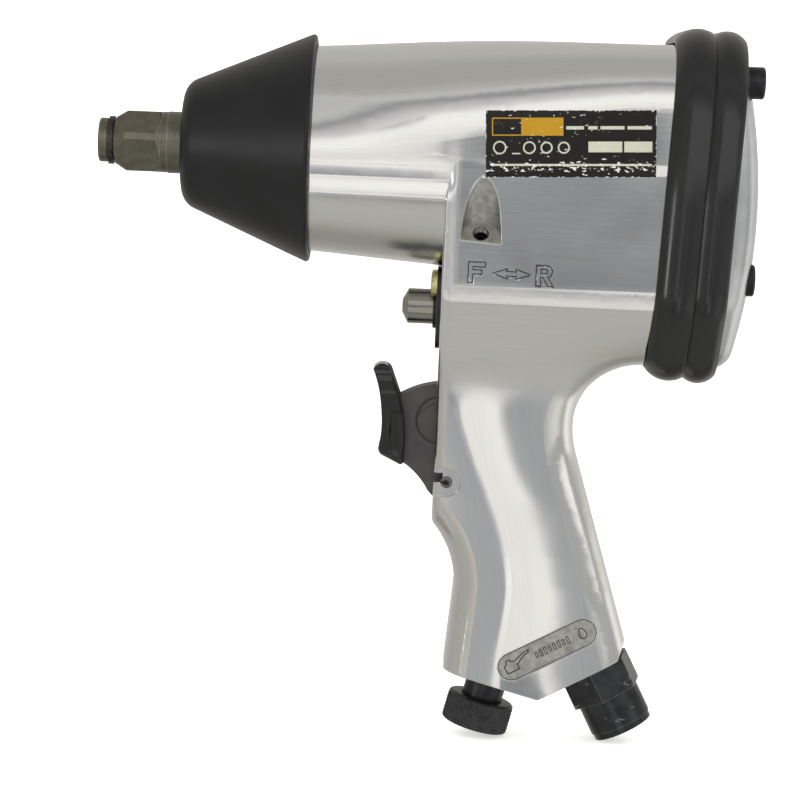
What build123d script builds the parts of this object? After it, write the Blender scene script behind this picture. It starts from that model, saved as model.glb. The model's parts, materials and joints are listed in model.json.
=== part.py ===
"""Air impact wrench, half-inch square drive, pistol grip, rocking-dog clutch and six-vane motor.

Millimetres. +Z up, the square drive points to -X, the origin is the tip of the square drive on
its axis. The operator's right hand side is -Y. Every piece is one node in parts/.
"""
from build123d import *
import os
from math import atan, copysign, cos, exp, hypot, radians, sin, tan

os.makedirs("parts", exist_ok=True)

# ------------------------------------------------------------------ fits and clearances
run_gap = 0.05            # radial running clearance of a shaft in its bore
pass_gap = 0.3            # room between parts that pass each other
slide_gap = 0.1           # room beside sliding vanes and at rotor ends
oring_fit = 0.02          # a ring's groove is cut this much larger than the ring

# ------------------------------------------------------------------ square drive and anvil
square_af = 12.7          # half-inch drive, across flats
square_corner_r = 8.2     # corners are turned to this radius before the flats are milled
square_turn = 34.4        # degrees that the square stands turned about its axis
square_end_x = 17.1       # where the middle of each flat runs out into the shank
square_runout_r = 11.0    # cutter radius at the end of each flat
tip_disc_r = 6.0
tip_disc_t = 2.15
tip_chamfer = 0.4
ring_groove_w = 2.35
ring_groove_r = 4.7
socket_ring_r = 6.55      # outside radius of the split ring
socket_ring_t = 1.3
socket_ring_wall = 1.1
ring_gap_angle = 14.0     # degrees of the split
lead_in = 3.0             # length of the conical lead-in behind the ring
shank_r = 8.25
journal_x = 18.9
journal_r = 8.4
anvil_flange_r = 13.0
anvil_flange_t = 3.4
anvil_body_r = 9.5
anvil_lobe_r = 12.3
anvil_lobe_angle = 16.0   # half angle of the driven lobe, degrees
anvil_pilot_r = 5.0
anvil_pilot_length = 3.0

# ------------------------------------------------------------------ nose boot and nose
boot_face_x = 22.9
boot_wall = 3.6
boot_front_r = 16.2       # the cone's radius where it would meet the front face
boot_front_round = 5.5
boot_rim_x = 58.2
boot_rim_wall = 3.2       # measured radially
boot_side_wall = 3.7      # measured radially
boot_rim_round = 0.8
boot_hole_gap = 0.6

# ------------------------------------------------------------------ front bushing
bushing_length = 17.5
bushing_wall = 2.3
washer_t = 1.5
washer_r = 16.5

# ------------------------------------------------------------------ hammer chamber and clutch
chamber_front_r = 18.0
chamber_r = 24.5
chamber_full_x = 58.0
cage_gap = 0.6
cage_plate_x = 57.6
cage_plate_t = 5.4
dog_length = 20.4
cage_rear_t = 8.0
cage_hub_r = 14.0
hammer_pin_r = 3.2
hammer_pin_offset = 20.0  # from the drive axis
dog_half_width = 19.9
dog_half_height = 17.0
dog_bore_r = 12.9
dog_relief_r = 13.9
dog_relief_angle = 40.0
dog_rock = 6.0            # degrees each way
web_height = 19.7         # the cage's two webs lie beyond this height
spline_teeth = 10
spline_r = 5.9
spline_depth = 0.8

# ------------------------------------------------------------------ motor
end_plate_t = 11.4
end_plate_lip = 2.0       # plate left behind the bearing seat
motor_r = 27.0
motor_fit = 0.05
cylinder_length = 36.4
cylinder_wall = 5.6       # mean thickness of the liner's wall
cylinder_offset = 2.5     # the bore is eccentric by this much, upwards
rotor_seal_gap = 0.1
vane_count = 6
vane_t = 2.0
vane_depth = 8.3
dowel_r = 1.5
dowel_angle = 200.0
port_r = 2.2

# ------------------------------------------------------------------ rotor bearings, 12 x 28 x 8
bearing_bore_r = 6.0
bearing_r = 14.0
bearing_w = 8.0
bearing_pitch_r = 10.0
ball_r = 2.38
ball_count = 8
race_gap = 0.07
race_shoulder = 1.7       # race face stands this far from the pitch circle

# ------------------------------------------------------------------ housing casting
block_x = 94.7            # front face of the handle block
joint_x = 163.0           # rear face of the casting
barrel_x = 57.0
barrel_r = 27.7
barrel_swell = 2.7        # the barrel has grown by this much at the block
barrel_flat = 0.5         # the barrel stands this much squarer above its axis
waist_x = 126.0           # where the barrel has turned into the squarer body
waist_swell = 1.8
waist_height = 31.4
waist_corner_r = 21.0
rear_swell = 1.0
rear_height = 32.1
rear_corner_r = 19.5
body_bottom = -54.0
shoulder_z = -36.0        # the flat sides end here and turn in towards the grip
shoulder_r = 9.0
neck_z = -61.0
neck_half_width = 16.6
neck_blend = 1.4          # softness of the hollow between body and grip
grip_z = -105.0
grip_half_width = 15.6
foot_z = -150.0
foot_half_width = 17.2
grip_crown = 1.5          # the grip's sides are fuller in the middle by this much
crown_fade = 12.0         # height over which the crown comes in under the shoulder
web_r = 17.6              # hollow between thumb and forefinger
web_x = 149.6
back_r = 26.0
back_slope = 17.2
ledge_z = -99.7           # lower end of the flat front face
relief_x = 101.5          # deepest point of the finger relief under the trigger
relief_z = -117.0
relief_angle = 20.0       # middle of the relief's upper curve, degrees
relief_soft = 4.0         # the crown follows the relief with this softness
toe_x = 99.6
toe_z = -140.8
heel_x = 148.9
heel_bevel = 2.0
keel_x = 125.5            # lowest edge of the grip
keel_z = -146.4
foot_front_slope = 14.0
foot_rear_slope = 27.5
front_edge_r = 3.0
back_edge_r = 9.0
toe_edge_r = 7.0

# ------------------------------------------------------------------ rear guard and cover
gasket_t = 0.8
cover_end_x = 178.9
cover_dome_r = 150.0
cover_dome_z = -11.4
cover_edge_r = 6.0
cover_wall = 6.0
spigot_wall = 4.5
outline_low_r = 11.0      # lower corners of the rear outline
guard_middle_x = 162.4    # middle of the band, at the height about which it leans
guard_lean_z = 16.0
guard_lean = 2.6          # degrees, forwards at the bottom
guard_w = 18.8
rib_height = 4.0
groove_height = 3.2
groove_share = 0.56       # place of the groove along the band
groove_half = 0.6
groove_depth = 0.4
guard_lip = 0.9           # thickness of the band's front edge
guard_fit = 0.2

# ------------------------------------------------------------------ cover screws, M5 socket head
screw_r = 2.5
screw_head_r = 4.25
screw_head_h = 4.6
washer_inset = 0.1        # spring washer's edge inside the head's
screw_length = 24.0
screw_hex_af = 4.0
screw_hex_depth = 2.5
spring_washer_t = 0.9
screw_y = 23.0
screw_high_z = 22.4
screw_low_z = -29.6
screw_seat_x = 171.8

# ------------------------------------------------------------------ trigger and throttle
pin_x = 98.2
pin_z = -88.2
pin_r = 1.5
trigger_hub_r = 6.2
trigger_web_half = 4.2
trigger_arc_r = 26.0      # the web's upper edge, about the pin
trigger_arc_angle = 34.0
trigger_chin = (5.0, 3.7)     # where the web's lower edge meets the hub, from the pin
trigger_boss_r = 6.4
trigger_boss_back = 2.4   # the boss's centre lies this far in front of the pin
trigger_boss_h = 0.6
blade_half = 7.6
blade_ahead = 21.1        # the finger piece's tip, in front of the pin
blade_rise = 29.2         # and above it
blade_height = 21.2
blade_rake = 2.2          # the lower end stands this much further back than the tip
blade_hollow = 1.5        # depth of the finger hollow
blade_top_t = 4.9
blade_low_t = 7.0
blade_corner_r = 5.0
blade_edge = 0.6
pin_recess_r = 3.9
pin_recess_depth = 1.0
pin_notch_h = 2.6         # the lever's cheek shows in a notch beside the pin
pin_notch_rise = 1.2
throttle_rise = 13.8      # the throttle's axis above the trigger pin
throttle_r = 7.0
throttle_end_x = 127.5
throttle_bush_x = 105.6
throttle_bush_length = 9.6
throttle_cavity_r = 4.5
stem_r = 2.4
stem_cone = 1.9           # the stem's tip is coned by this much
stem_guide = 4.0          # length of the bushing that guides the stem
throttle_port_share = 0.65    # the air port's place along the bushing
throttle_ring_x = 2.2     # the bushing's ring, from its front end
valve_head_r = 5.6
valve_head_t = 2.2
valve_seal_t = 1.2
spring_wire_r = 0.45
spring_r = 4.0
spring_turns = 4
oring_r = 0.8

# ------------------------------------------------------------------ reverse valve
reverse_drop = 11.3       # from the barrel's underside to the valve's axis
reverse_r = 4.8
reverse_tip_x = 84.2
reverse_tip_r = 1.8
reverse_tip_length = 1.6
reverse_travel = 6.0
reverse_bush_r = 7.0
reverse_bush_length = 50.0
reverse_end_wall = 2.0
reverse_waist_r = 3.0
reverse_waist_length = 8.0
reverse_port_pitch = 12.0
reverse_ring_x = 3.0      # the front ring, from the block's face
plate_t = 1.2
plate_height = 22.0       # centred on the reverse valve
plate_width = 21.0
plate_corner_r = 6.0
plate_collar_r = 5.9
plate_collar_t = 0.9
plate_screw_y = 6.6
plate_screw_rise = 6.5    # above the valve's axis
plate_screw_r = 1.5
plate_screw_head_r = 3.3
plate_screw_head_h = 1.7
plate_screw_dome = 1.0    # rounding of the head's edge
cross_length = 3.4
cross_width = 0.7
cross_depth = 0.8
plate_screw_length = 8.0

# ------------------------------------------------------------------ air inlet
inlet_along = 17.4        # from the keel edge to the inlet axis, along the sole
inlet_thread_r = 7.4
inlet_thread_length = 12.0
inlet_hex_af = 18.0
inlet_hex_length = 9.6
inlet_hex_turn = 10.0
inlet_barrel_r = 8.65
inlet_barrel_length = 8.6
inlet_rim_r = 8.3
inlet_rim_length = 1.8
inlet_port_r = 5.7        # tapping radius of the quarter-inch pipe thread
inlet_port_length = 13.0
inlet_bore_r = 4.0
seal_t = 0.8
screen_t = 0.6
screen_reach = 0.8        # the screen is let into the bore's wall by this much
screen_hole_r = 0.8
screen_hole_circle = 2.4
seal_reach = 0.2          # the seal stands out past the flats by this much
air_duct_r = 4.0
exhaust_port_r = 2.2
exhaust_bend_back = 3.5   # the exhaust way bends this far in front of the throttle bore's end
exhaust_top_y = 4.5
exhaust_wall = 1.2        # metal between the throttle bore and the exhaust ways
exhaust_foot_share = 0.8  # the ways close in by this share at the sole
exhaust_foot_x = 2.6      # their mouths lie this far in front of the keel edge

# ------------------------------------------------------------------ air regulator
regulator_along = 13.6    # from the keel edge to the regulator axis, along the sole
regulator_stem_r = 5.6
regulator_gap = 6.4       # sole to knob
regulator_head_r = 9.3
regulator_head_length = 8.4
regulator_depth = 17.0
regulator_needle_r = 2.5
regulator_needle_length = 6.0
regulator_seat_room = 6.0   # the screw can still be turned in by this much
regulator_edge_r = 1.2
regulator_needle_tip_r = 0.8
regulator_ring_room = 4.0     # from the ring to the screw's shoulder

# ------------------------------------------------------------------ side oil port
port_x = 104.4
port_z = -22.2            # lower edge of the scoop
scoop_r = 5.3
scoop_lean = 17.6         # degrees between the scoop's axis and the flank
scoop_floor = 38.0        # degrees that the floor is tipped in from the flank
port_hole_rise = 2.9      # the tapped hole's centre, up the floor from the lower edge
plug_r = 2.1
plug_length = 3.4
plug_sunk = 2.6
plug_hex_af = 2.0
plug_hex_depth = 1.5

# ------------------------------------------------------------------ plate recess on the grip
recess_x = 127.6
recess_z = -132.6
recess_length = 29.2
recess_r = 3.85
recess_tilt = 28.0
recess_depth = 0.8

# ------------------------------------------------------------------ worked-out sizes and stations along X
nose_x = boot_face_x + boot_wall
chamber_x = nose_x + bushing_length
flange_x = chamber_x + washer_t + slide_gap
anvil_body_x = flange_x + anvil_flange_t
dog_x = cage_plate_x + cage_plate_t
cage_rear_x = dog_x + dog_length + 2 * pass_gap
cage_end_x = cage_rear_x + cage_rear_t
motor_x = cage_end_x + 2 * pass_gap
cylinder_x = motor_x + end_plate_t
rear_plate_x = cylinder_x + cylinder_length
motor_end_x = rear_plate_x + end_plate_t
bushing_r = journal_r + run_gap + bushing_wall
cage_r = chamber_r - cage_gap
cylinder_bore_r = motor_r - cylinder_wall
rotor_r = cylinder_bore_r - cylinder_offset - rotor_seal_gap
groove_x = tip_disc_t + ring_groove_w
block_r = barrel_r + barrel_swell
reverse_z = -block_r - reverse_drop
plate_screw_z = reverse_z + plate_screw_rise
waist_half_width = block_r + waist_swell
rear_half_width = waist_half_width + rear_swell
throttle_z = pin_z + throttle_rise
throttle_seat_x = throttle_bush_x + throttle_bush_length
throttle_port_x = throttle_bush_x + throttle_port_share * throttle_bush_length
cover_x = joint_x + gasket_t

SIDE = Plane.XZ           # local x, y are the object's X, Z


# ------------------------------------------------------------------ helpers
def rod(x0, x1, r, y=0.0, z=0.0):
    """Cylinder along X from x0 to x1 about the line (y, z)."""
    return Pos((x0 + x1) / 2, y, z) * Rot(0, 90, 0) * Cylinder(r, x1 - x0)


def tube(x0, x1, r_in, r_out, y=0.0, z=0.0):
    """Hollow cylinder along X."""
    return rod(x0, x1, r_out, y, z) - rod(x0 - 1, x1 + 1, r_in, y, z)


def turned(points):
    """Solid of revolution about the drive axis from (x, radius) points."""
    profile = make_face(Polyline(*[(x, r) for x, r in points], close=True))
    return revolve(SIDE * profile, Axis.X)


def rod_between(start, end, r):
    """Round rod from one point to another."""
    a, b = Vector(*start), Vector(*end)
    direction = b - a
    plane = Plane(origin=a + direction * 0.5, z_dir=direction.normalized())
    return plane * Cylinder(r, direction.length)


def slab(face, half_width):
    """Side-view face made solid, half_width to each side of the middle plane."""
    return extrude(SIDE * face, half_width, both=True)


def tube_section(x, half_width, height, corner_r):
    """Section of the casting: squarer above, a half circle below."""
    edges = [
        Line((half_width, 0), (half_width, height)),
        Line((half_width, height), (-half_width, height)),
        Line((-half_width, height), (-half_width, 0)),
        ThreePointArc((-half_width, 0), (0, -half_width), (half_width, 0)),
    ]
    face = make_face(edges)
    top = face.vertices().sort_by(Axis.Y)[-2:]
    return Plane.YZ.offset(x) * fillet(top, corner_r)


def flank_half_width(x):
    """Half width of the body's flat flank, growing from the block to the rear face."""
    if x < waist_x:
        return block_r + waist_swell * (x - block_x) / (waist_x - block_x)
    return waist_half_width + rear_swell * (x - waist_x) / (joint_x - waist_x)


def grip_side(x, z):
    """Half width of the block under its shoulder: a slope, a soft hollow, then the crowned grip."""
    slope_side = flank_half_width(x) + shoulder_slope(x) * (z - shoulder_z)
    if z > grip_z:
        flare = (neck_half_width - grip_half_width) * ((z - grip_z) / (neck_z - grip_z)) ** 2
    else:
        flare = (foot_half_width - grip_half_width) * ((z - grip_z) / (foot_z - grip_z)) ** 2
    grip = grip_half_width + flare
    side = (slope_side + grip + hypot(slope_side - grip, 2 * neck_blend)) / 2
    front = block_x + (relief_x - block_x) / (1 + exp((z - (relief_z + ledge_z) / 2) / relief_soft))
    back = web_x - web_r + tan(radians(back_slope)) * max(0, body_bottom - back_r - z)
    reach = abs(2 * x - front - back) / (back - front)
    fall = min(reach, 1) ** 2 + 2 * max(reach - 1, 0)
    fade = 1 - exp(-(max(0, shoulder_z - shoulder_r / 2 - z) / crown_fade) ** 2)
    return side - grip_crown * fade * fall


def shoulder_slope(x):
    return (flank_half_width(x) - neck_half_width) / (shoulder_z - neck_z)


def block_section(x):
    """Front-view section of the block and grip under the barrel."""
    half_width = flank_half_width(x)
    slope = shoulder_slope(x)
    turn = atan(slope)
    tangent = shoulder_r * tan(turn / 2)
    rows = 12
    first_z = shoulder_z - 1.2 * shoulder_r
    heights = [first_z + (foot_z - first_z) * i / rows for i in range(rows + 1)]
    foot_y = grip_side(x, foot_z)
    edges = [Line((half_width - 8, 2), (8 - half_width, 2)), Line((foot_y, foot_z), (-foot_y, foot_z))]
    for sign in (1, -1):
        arc_start = (sign * half_width, shoulder_z + tangent)
        arc_middle = (sign * (half_width - shoulder_r * (1 - cos(turn / 2))),
                      shoulder_z + tangent - shoulder_r * sin(turn / 2))
        arc_end = (sign * (half_width - tangent * sin(turn)), shoulder_z - tangent * cos(turn))
        side = [(sign * grip_side(x, z), z) for z in heights]
        edges += [
            Line((sign * (half_width - 8), 2), (sign * half_width, -1)),
            Line((sign * half_width, -1), arc_start),
            ThreePointArc(arc_start, arc_middle, arc_end),
            Spline(arc_end, *side, tangents=((-sign * slope, -1), (0, -1))),
        ]
    return Plane.YZ.offset(x) * make_face(edges)


def rear_outline(x, grow=0.0):
    """Outline of the casting's rear face, grown outwards by a margin."""
    low_y = neck_half_width + shoulder_slope(joint_x) * (body_bottom - neck_z)
    right = [(rear_half_width, rear_height), (rear_half_width, shoulder_z), (low_y, body_bottom)]
    left = [(-y, z) for y, z in reversed(right)]
    face = make_face(Polyline(*right, *left, close=True))
    for z, r in ((rear_height, rear_corner_r), (shoulder_z, shoulder_r), (body_bottom, outline_low_r)):
        corners = [v for v in face.vertices() if abs(v.Y - z) < 0.01]
        face = fillet(corners, r)
    if grow:
        face = offset(face, grow, kind=Kind.ARC)
    return Plane.YZ.offset(x) * face


def hexagon(af, length):
    """Hexagonal prism, centred, standing on Z."""
    return extrude(RegularPolygon(af / 2, 6, major_radius=False), length / 2, both=True)


# ------------------------------------------------------------------ housing casting
def side_outline():
    """Side view of the block and grip: flat front, finger relief, sole and thumb web."""
    back_end = (web_x - web_r + back_r * (1 - cos(radians(back_slope))),
                body_bottom - web_r - back_r * sin(radians(back_slope)))
    heel_z = back_end[1] - (heel_x - back_end[0]) / tan(radians(back_slope))
    sole_rise = tan(radians(foot_rear_slope))
    sole_x = heel_x - heel_bevel
    sole_z = keel_z + (sole_x - keel_x) * sole_rise
    toe_sole_z = keel_z + (keel_x - toe_x) * tan(radians(foot_front_slope))
    relief_depth = relief_x - block_x
    relief_r = (relief_depth ** 2 + (ledge_z - relief_z) ** 2) / (2 * relief_depth)
    relief_mid = radians(relief_angle)
    web_z = body_bottom - web_r
    corner = web_r * (1 - cos(radians(45)))
    mid = radians(back_slope / 2)
    edges = [
        Line((block_x, 6), (joint_x, 6)),
        Line((joint_x, 6), (joint_x, body_bottom)),
        Line((joint_x, body_bottom), (web_x, body_bottom)),
        ThreePointArc((web_x, body_bottom), (web_x - web_r + corner, body_bottom - corner),
                      (web_x - web_r, web_z)),
        ThreePointArc((web_x - web_r, web_z),
                      (web_x - web_r + back_r * (1 - cos(mid)), web_z - back_r * sin(mid)), back_end),
        Line(back_end, (heel_x, heel_z)),
        Line((heel_x, heel_z), (sole_x, sole_z)),
        Line((sole_x, sole_z), (keel_x, keel_z)),
        Line((keel_x, keel_z), (toe_x, toe_sole_z)),
        Line((toe_x, toe_sole_z), (relief_x, relief_z)),
        ThreePointArc((relief_x, relief_z),
                      (relief_x - relief_r * (1 - cos(relief_mid)), relief_z + relief_r * sin(relief_mid)),
                      (block_x, ledge_z)),
        Line((block_x, ledge_z), (block_x, 6)),
    ]
    return make_face(edges)


def casting_outside():
    """Barrel, body and grip as one sculpted solid, still without its bores."""
    middle_r = (barrel_r + block_r) / 2
    stations = (
        (barrel_x, barrel_r, barrel_r, barrel_r - barrel_flat),
        ((barrel_x + block_x) / 2, middle_r, middle_r, middle_r - 3 * barrel_flat),
        (block_x, block_r, block_r, block_r - 8 * barrel_flat),
        (waist_x, waist_half_width, waist_height, waist_corner_r),
        (joint_x, rear_half_width, rear_height, rear_corner_r),
    )
    barrel = loft([tube_section(*station) for station in stations])
    block = loft([block_section(block_x + (joint_x - block_x) * i / 6) for i in range(7)])
    block = block & slab(side_outline(), rear_half_width + 5)

    def lengthwise(edge):
        start, end = edge.position_at(0), edge.position_at(1)
        return start.Y * end.Y > 0 and min(abs(start.Y), abs(end.Y)) > neck_half_width / 2

    def along_back(edge):
        ends = (edge.position_at(0), edge.position_at(1))
        return (lengthwise(edge) and min(p.X for p in ends) > web_x - web_r - 1
                and max(p.Z for p in ends) < body_bottom + 1
                and edge.center().Z > toe_z + shoulder_r)

    def along_relief(edge):
        ends = (edge.position_at(0), edge.position_at(1))
        return (lengthwise(edge) and max(p.X for p in ends) < relief_x + 1
                and max(p.Z for p in ends) < ledge_z + 1)

    def along_front(edge):
        ends = (edge.position_at(0), edge.position_at(1))
        return (lengthwise(edge) and max(abs(p.X - block_x) for p in ends) < 0.01
                and max(p.Z for p in ends) < 0 and min(p.Z for p in ends) > ledge_z - 1)

    block = block.fillet(back_edge_r, [e for e in block.edges() if along_back(e)])
    block = block.fillet(toe_edge_r, [e for e in block.edges() if along_relief(e)])
    block = block.fillet(front_edge_r, [e for e in block.edges() if along_front(e)])
    nose = turned([(nose_x, 0), (nose_x, nose_cone_r(nose_x)), (barrel_x + 1, nose_cone_r(barrel_x + 1)),
                   (barrel_x + 1, 0)])
    return barrel + block + nose


def nose_cone_r(x):
    """Radius of the casting's nose under the boot."""
    return boot_front_r + boot_slope * (x - boot_face_x) - boot_side_wall


# The sole is two planes that meet at the keel edge; each fitting stands square on its plane.
def sole_plane(along, slope):
    """Plane on the sole; along is measured from the keel edge, negative towards the front."""
    angle = radians(slope)
    origin = Vector(keel_x + along * cos(angle), 0, keel_z + abs(along) * sin(angle))
    outward = Vector(copysign(sin(angle), along), 0, -cos(angle))
    return Plane(origin=origin, x_dir=(0, 1, 0), z_dir=outward)


def stub(plane, z0, z1, r):
    """Cylinder on a fitting's own axis, from z0 to z1 out of the sole."""
    return plane * Pos(0, 0, (z0 + z1) / 2) * Cylinder(r, z1 - z0)


def bolt_places():
    """(y, z) of the four cover screws."""
    return [(side * screw_y, z) for side in (-1, 1) for z in (screw_high_z, screw_low_z)]


def bores(casting):
    """The casting with its chambers, bores and air ways cut out."""
    casting -= turned([(chamber_x - 1, 0), (chamber_x - 1, bushing_r), (chamber_x, bushing_r),
                       (chamber_x, chamber_front_r), (chamber_full_x, chamber_r), (motor_x, chamber_r),
                       (motor_x, motor_r + motor_fit), (joint_x + 1, motor_r + motor_fit),
                       (joint_x + 1, 0)])
    casting -= rod(nose_x - 1, chamber_x, bushing_r)
    for y, z in bolt_places():
        casting -= rod(screw_seat_x - screw_length - 1, joint_x + 1, screw_r, y, z)
    casting -= rod(block_x - 5, block_x + reverse_bush_length, reverse_bush_r, 0, reverse_z)
    for side in (-1, 1):
        screw_end = block_x + plate_screw_length
        casting -= rod(block_x - 5, screw_end, plate_screw_r, side * plate_screw_y, plate_screw_z)
    casting -= rod(block_x - 5, throttle_end_x, throttle_r, 0, throttle_z)
    casting -= stub(inlet_plane, -inlet_thread_length, 5, inlet_thread_r)
    casting -= stub(regulator_plane, -regulator_bore, 5, regulator_stem_r + run_gap)
    for cut in trigger_cuts() + air_ways() + oil_port():
        casting -= cut
    return casting - capsule_recess()


def trigger_cuts():
    """Slot for the lever, bore for its pin and a recess at each end of the pin."""
    top = pin_z + trigger_arc_r + 2 * pass_gap
    bottom = pin_z - trigger_hub_r - pass_gap
    front = block_x - 5
    back = pin_x + trigger_hub_r + 2 * pass_gap
    half = trigger_web_half + trigger_boss_h + pass_gap
    slot = Pos((front + back) / 2, 0, (top + bottom) / 2) * Box(back - front, 2 * half, top - bottom)
    cuts = [slot, Pos(pin_x, 0, pin_z) * Rot(90, 0, 0) * Cylinder(pin_r, 3 * grip_half_width)]
    floor_y = grip_side(pin_x, pin_z) - pin_recess_depth
    recess = Circle(pin_recess_r) + Pos(-pin_recess_r, 0) * Rectangle(2 * pin_recess_r, 2 * pin_recess_r)
    for side in (-1, 1):
        floor = Plane(origin=(pin_x, side * floor_y, pin_z), x_dir=(1, 0, 0), z_dir=(0, side, 0))
        cuts.append(extrude(floor * recess, 3 * pin_recess_depth))
        cuts.append(Pos(pin_x - pin_recess_r - 1, side * (half + floor_y) / 2, pin_z + pin_notch_rise)
                    * Box(2 * pin_recess_r, floor_y - half + 1, pin_notch_h))
    return cuts


def air_ways():
    """Ways from the inlet past the throttle and the reverse valve to the motor, and out at the sole."""
    reverse_port_x = block_x + reverse_bush_length / 2
    duct_top = Vector(throttle_end_x - inlet_bore_r - 2, 0, throttle_z - 1)
    duct_foot = inlet_plane.from_local_coords((0, 0, -inlet_thread_length))
    cross_start = regulator_plane.from_local_coords((0, 0, 2 - regulator_bore))
    cross_end = duct_foot + (duct_top - duct_foot) * 0.4
    ways = [
        rod_between((throttle_port_x, 0, throttle_z), (throttle_port_x, 0, reverse_z), port_r + 0.8),
        rod_between((reverse_port_x, 0, reverse_z), (reverse_port_x, 0, 1 - motor_r), port_r + 0.8),
        rod_between(duct_foot, duct_top, air_duct_r),
        rod_between(cross_start, cross_end, port_r),
    ]
    bend_y = throttle_r + exhaust_port_r + exhaust_wall
    for side in (-1, 1):
        top = (throttle_end_x - 1.5, side * exhaust_top_y, reverse_z - 2)
        bend = (throttle_end_x - exhaust_bend_back, side * bend_y, neck_z)
        mouth = (keel_x - exhaust_foot_x, side * bend_y * exhaust_foot_share, keel_z - 3)
        ways += [rod_between(top, bend, exhaust_port_r), rod_between(bend, mouth, exhaust_port_r),
                 Pos(*bend) * Sphere(exhaust_port_r)]
    return ways


def port_floor():
    """Floor plane of the side oil port, origin at its lower edge on the flank."""
    tip = radians(scoop_floor)
    return Plane(origin=(port_x, -flank_half_width(port_x), port_z), x_dir=(1, 0, 0),
                 z_dir=(0, -cos(tip), sin(tip)))


def port_hole(depth0, depth1, r):
    """Cylinder on the tapped hole's axis, between two depths under the port's floor."""
    rise = Pos(0, -port_hole_rise, 0)
    if (port_floor() * rise).position.Z < port_z:
        rise = Pos(0, port_hole_rise, 0)
    return port_floor() * rise * Pos(0, 0, -(depth0 + depth1) / 2) * Cylinder(r, depth1 - depth0)


def oil_port():
    """Scoop milled into the flank by a leaning cutter, with a tapped hole in its floor."""
    lean = radians(scoop_lean)
    axis = Plane(origin=port_floor().origin, x_dir=(1, 0, 0), z_dir=(0, -sin(lean), cos(lean)))
    reach = 2 * scoop_r / sin(lean)
    above_floor = port_floor() * Pos(0, 0, reach / 2) * Box(4 * scoop_r, 2 * reach, reach)
    scoop = axis * Cylinder(scoop_r, 2 * reach) & above_floor
    return [scoop, port_hole(-1, plug_sunk + plug_length, plug_r)]


def capsule_recess():
    """Shallow capsule low on the grip's near side, its floor square to the side there."""
    step = 1.0
    lean_x = (grip_side(recess_x + step, recess_z) - grip_side(recess_x - step, recess_z)) / (2 * step)
    lean_z = (grip_side(recess_x, recess_z + step) - grip_side(recess_x, recess_z - step)) / (2 * step)
    floor_y = recess_depth - grip_side(recess_x, recess_z)
    floor = Plane(origin=(recess_x, floor_y, recess_z), x_dir=(1, 0, 0), z_dir=(-lean_x, -1, -lean_z))
    capsule = floor * Rot(0, 0, recess_tilt) * SlotOverall(recess_length, 2 * recess_r)
    return extrude(capsule, 6 * recess_depth)


# ------------------------------------------------------------------ nose pieces
def nose_boot():
    hole_r = journal_r + boot_hole_gap
    points = [(boot_face_x, hole_r), (boot_face_x, boot_front_r), (boot_rim_x, boot_rim_r),
              (boot_rim_x, boot_rim_in), (barrel_x, barrel_r + pass_gap), (barrel_x, nose_cone_r(barrel_x)),
              (nose_x, nose_cone_r(nose_x)), (nose_x, hole_r)]
    face = make_face(Polyline(*points, close=True))
    front = face.vertices().sort_by_distance((boot_face_x, boot_front_r, 0))[0]
    face = fillet(front, boot_front_round)
    rim = face.vertices().sort_by_distance((boot_rim_x, boot_rim_r, 0))[0]
    face = fillet(rim, boot_rim_round)
    return revolve(SIDE * face, Axis.X)


def anvil():
    """Square drive, shank, journal, flange and lobed rear body in one forging."""
    body_end = cage_rear_x - pass_gap
    pilot_end = body_end + anvil_pilot_length
    lobe = extrude(Plane.YZ.offset(dog_x + 2 * pass_gap) * sector(anvil_lobe_r, anvil_lobe_angle),
                   body_end - dog_x - 4 * pass_gap)
    turned_part = turned([
        (0, 0), (0, tip_disc_r - tip_chamfer), (tip_chamfer, tip_disc_r), (tip_disc_t, tip_disc_r),
        (tip_disc_t, ring_groove_r), (groove_x, ring_groove_r), (groove_x, square_af / 2),
        (groove_x + lead_in, square_corner_r), (square_end_x, square_corner_r), (square_end_x, shank_r),
        (journal_x, shank_r), (journal_x, journal_r), (flange_x, journal_r), (flange_x, anvil_flange_r),
        (anvil_body_x, anvil_flange_r),
        (anvil_body_x, anvil_body_r), (body_end, anvil_body_r), (body_end, anvil_pilot_r),
        (pilot_end, anvil_pilot_r), (pilot_end, 0)])
    flat_end = Pos(square_end_x - square_runout_r, 0) * Circle(square_runout_r)
    flat_length = square_end_x - groove_x
    flat = Pos(groove_x + flat_length / 2, 0) * Rectangle(flat_length, 2 * square_corner_r + 1)
    cutter = extrude(Plane.XY.offset(square_af / 2) * (flat & flat_end), square_corner_r)
    for quarter in range(4):
        turned_part -= Rot(square_turn + 90 * quarter, 0, 0) * cutter
    return turned_part + lobe


def sector(r, half_angle):
    """Round-ended sector in the YZ plane, pointing to +Y."""
    y, z = r * cos(radians(half_angle)), r * sin(radians(half_angle))
    return make_face([Line((0, 0), (y, -z)), ThreePointArc((y, -z), (r, 0), (y, z)), Line((y, z), (0, 0))])


def socket_ring():
    """Split ring that snaps into the socket's recess."""
    x0 = tip_disc_t + (ring_groove_w - socket_ring_t) / 2
    ring = tube(x0, x0 + socket_ring_t, socket_ring_r - socket_ring_wall, socket_ring_r)
    opening = sector(socket_ring_r + 1, ring_gap_angle / 2)
    gap = extrude(Plane.YZ.offset(x0 - 1) * opening, socket_ring_t + 2)
    return ring - Rot(90, 0, 0) * gap


def socket_ring_oring():
    """Rubber ring under the split ring that springs it outwards."""
    room = socket_ring_r - socket_ring_wall - ring_groove_r
    x0 = tip_disc_t + (ring_groove_w - room) / 2
    return Pos(x0 + room / 2, 0, 0) * Rot(0, 90, 0) * Torus(ring_groove_r + room / 2, room / 2)


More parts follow.
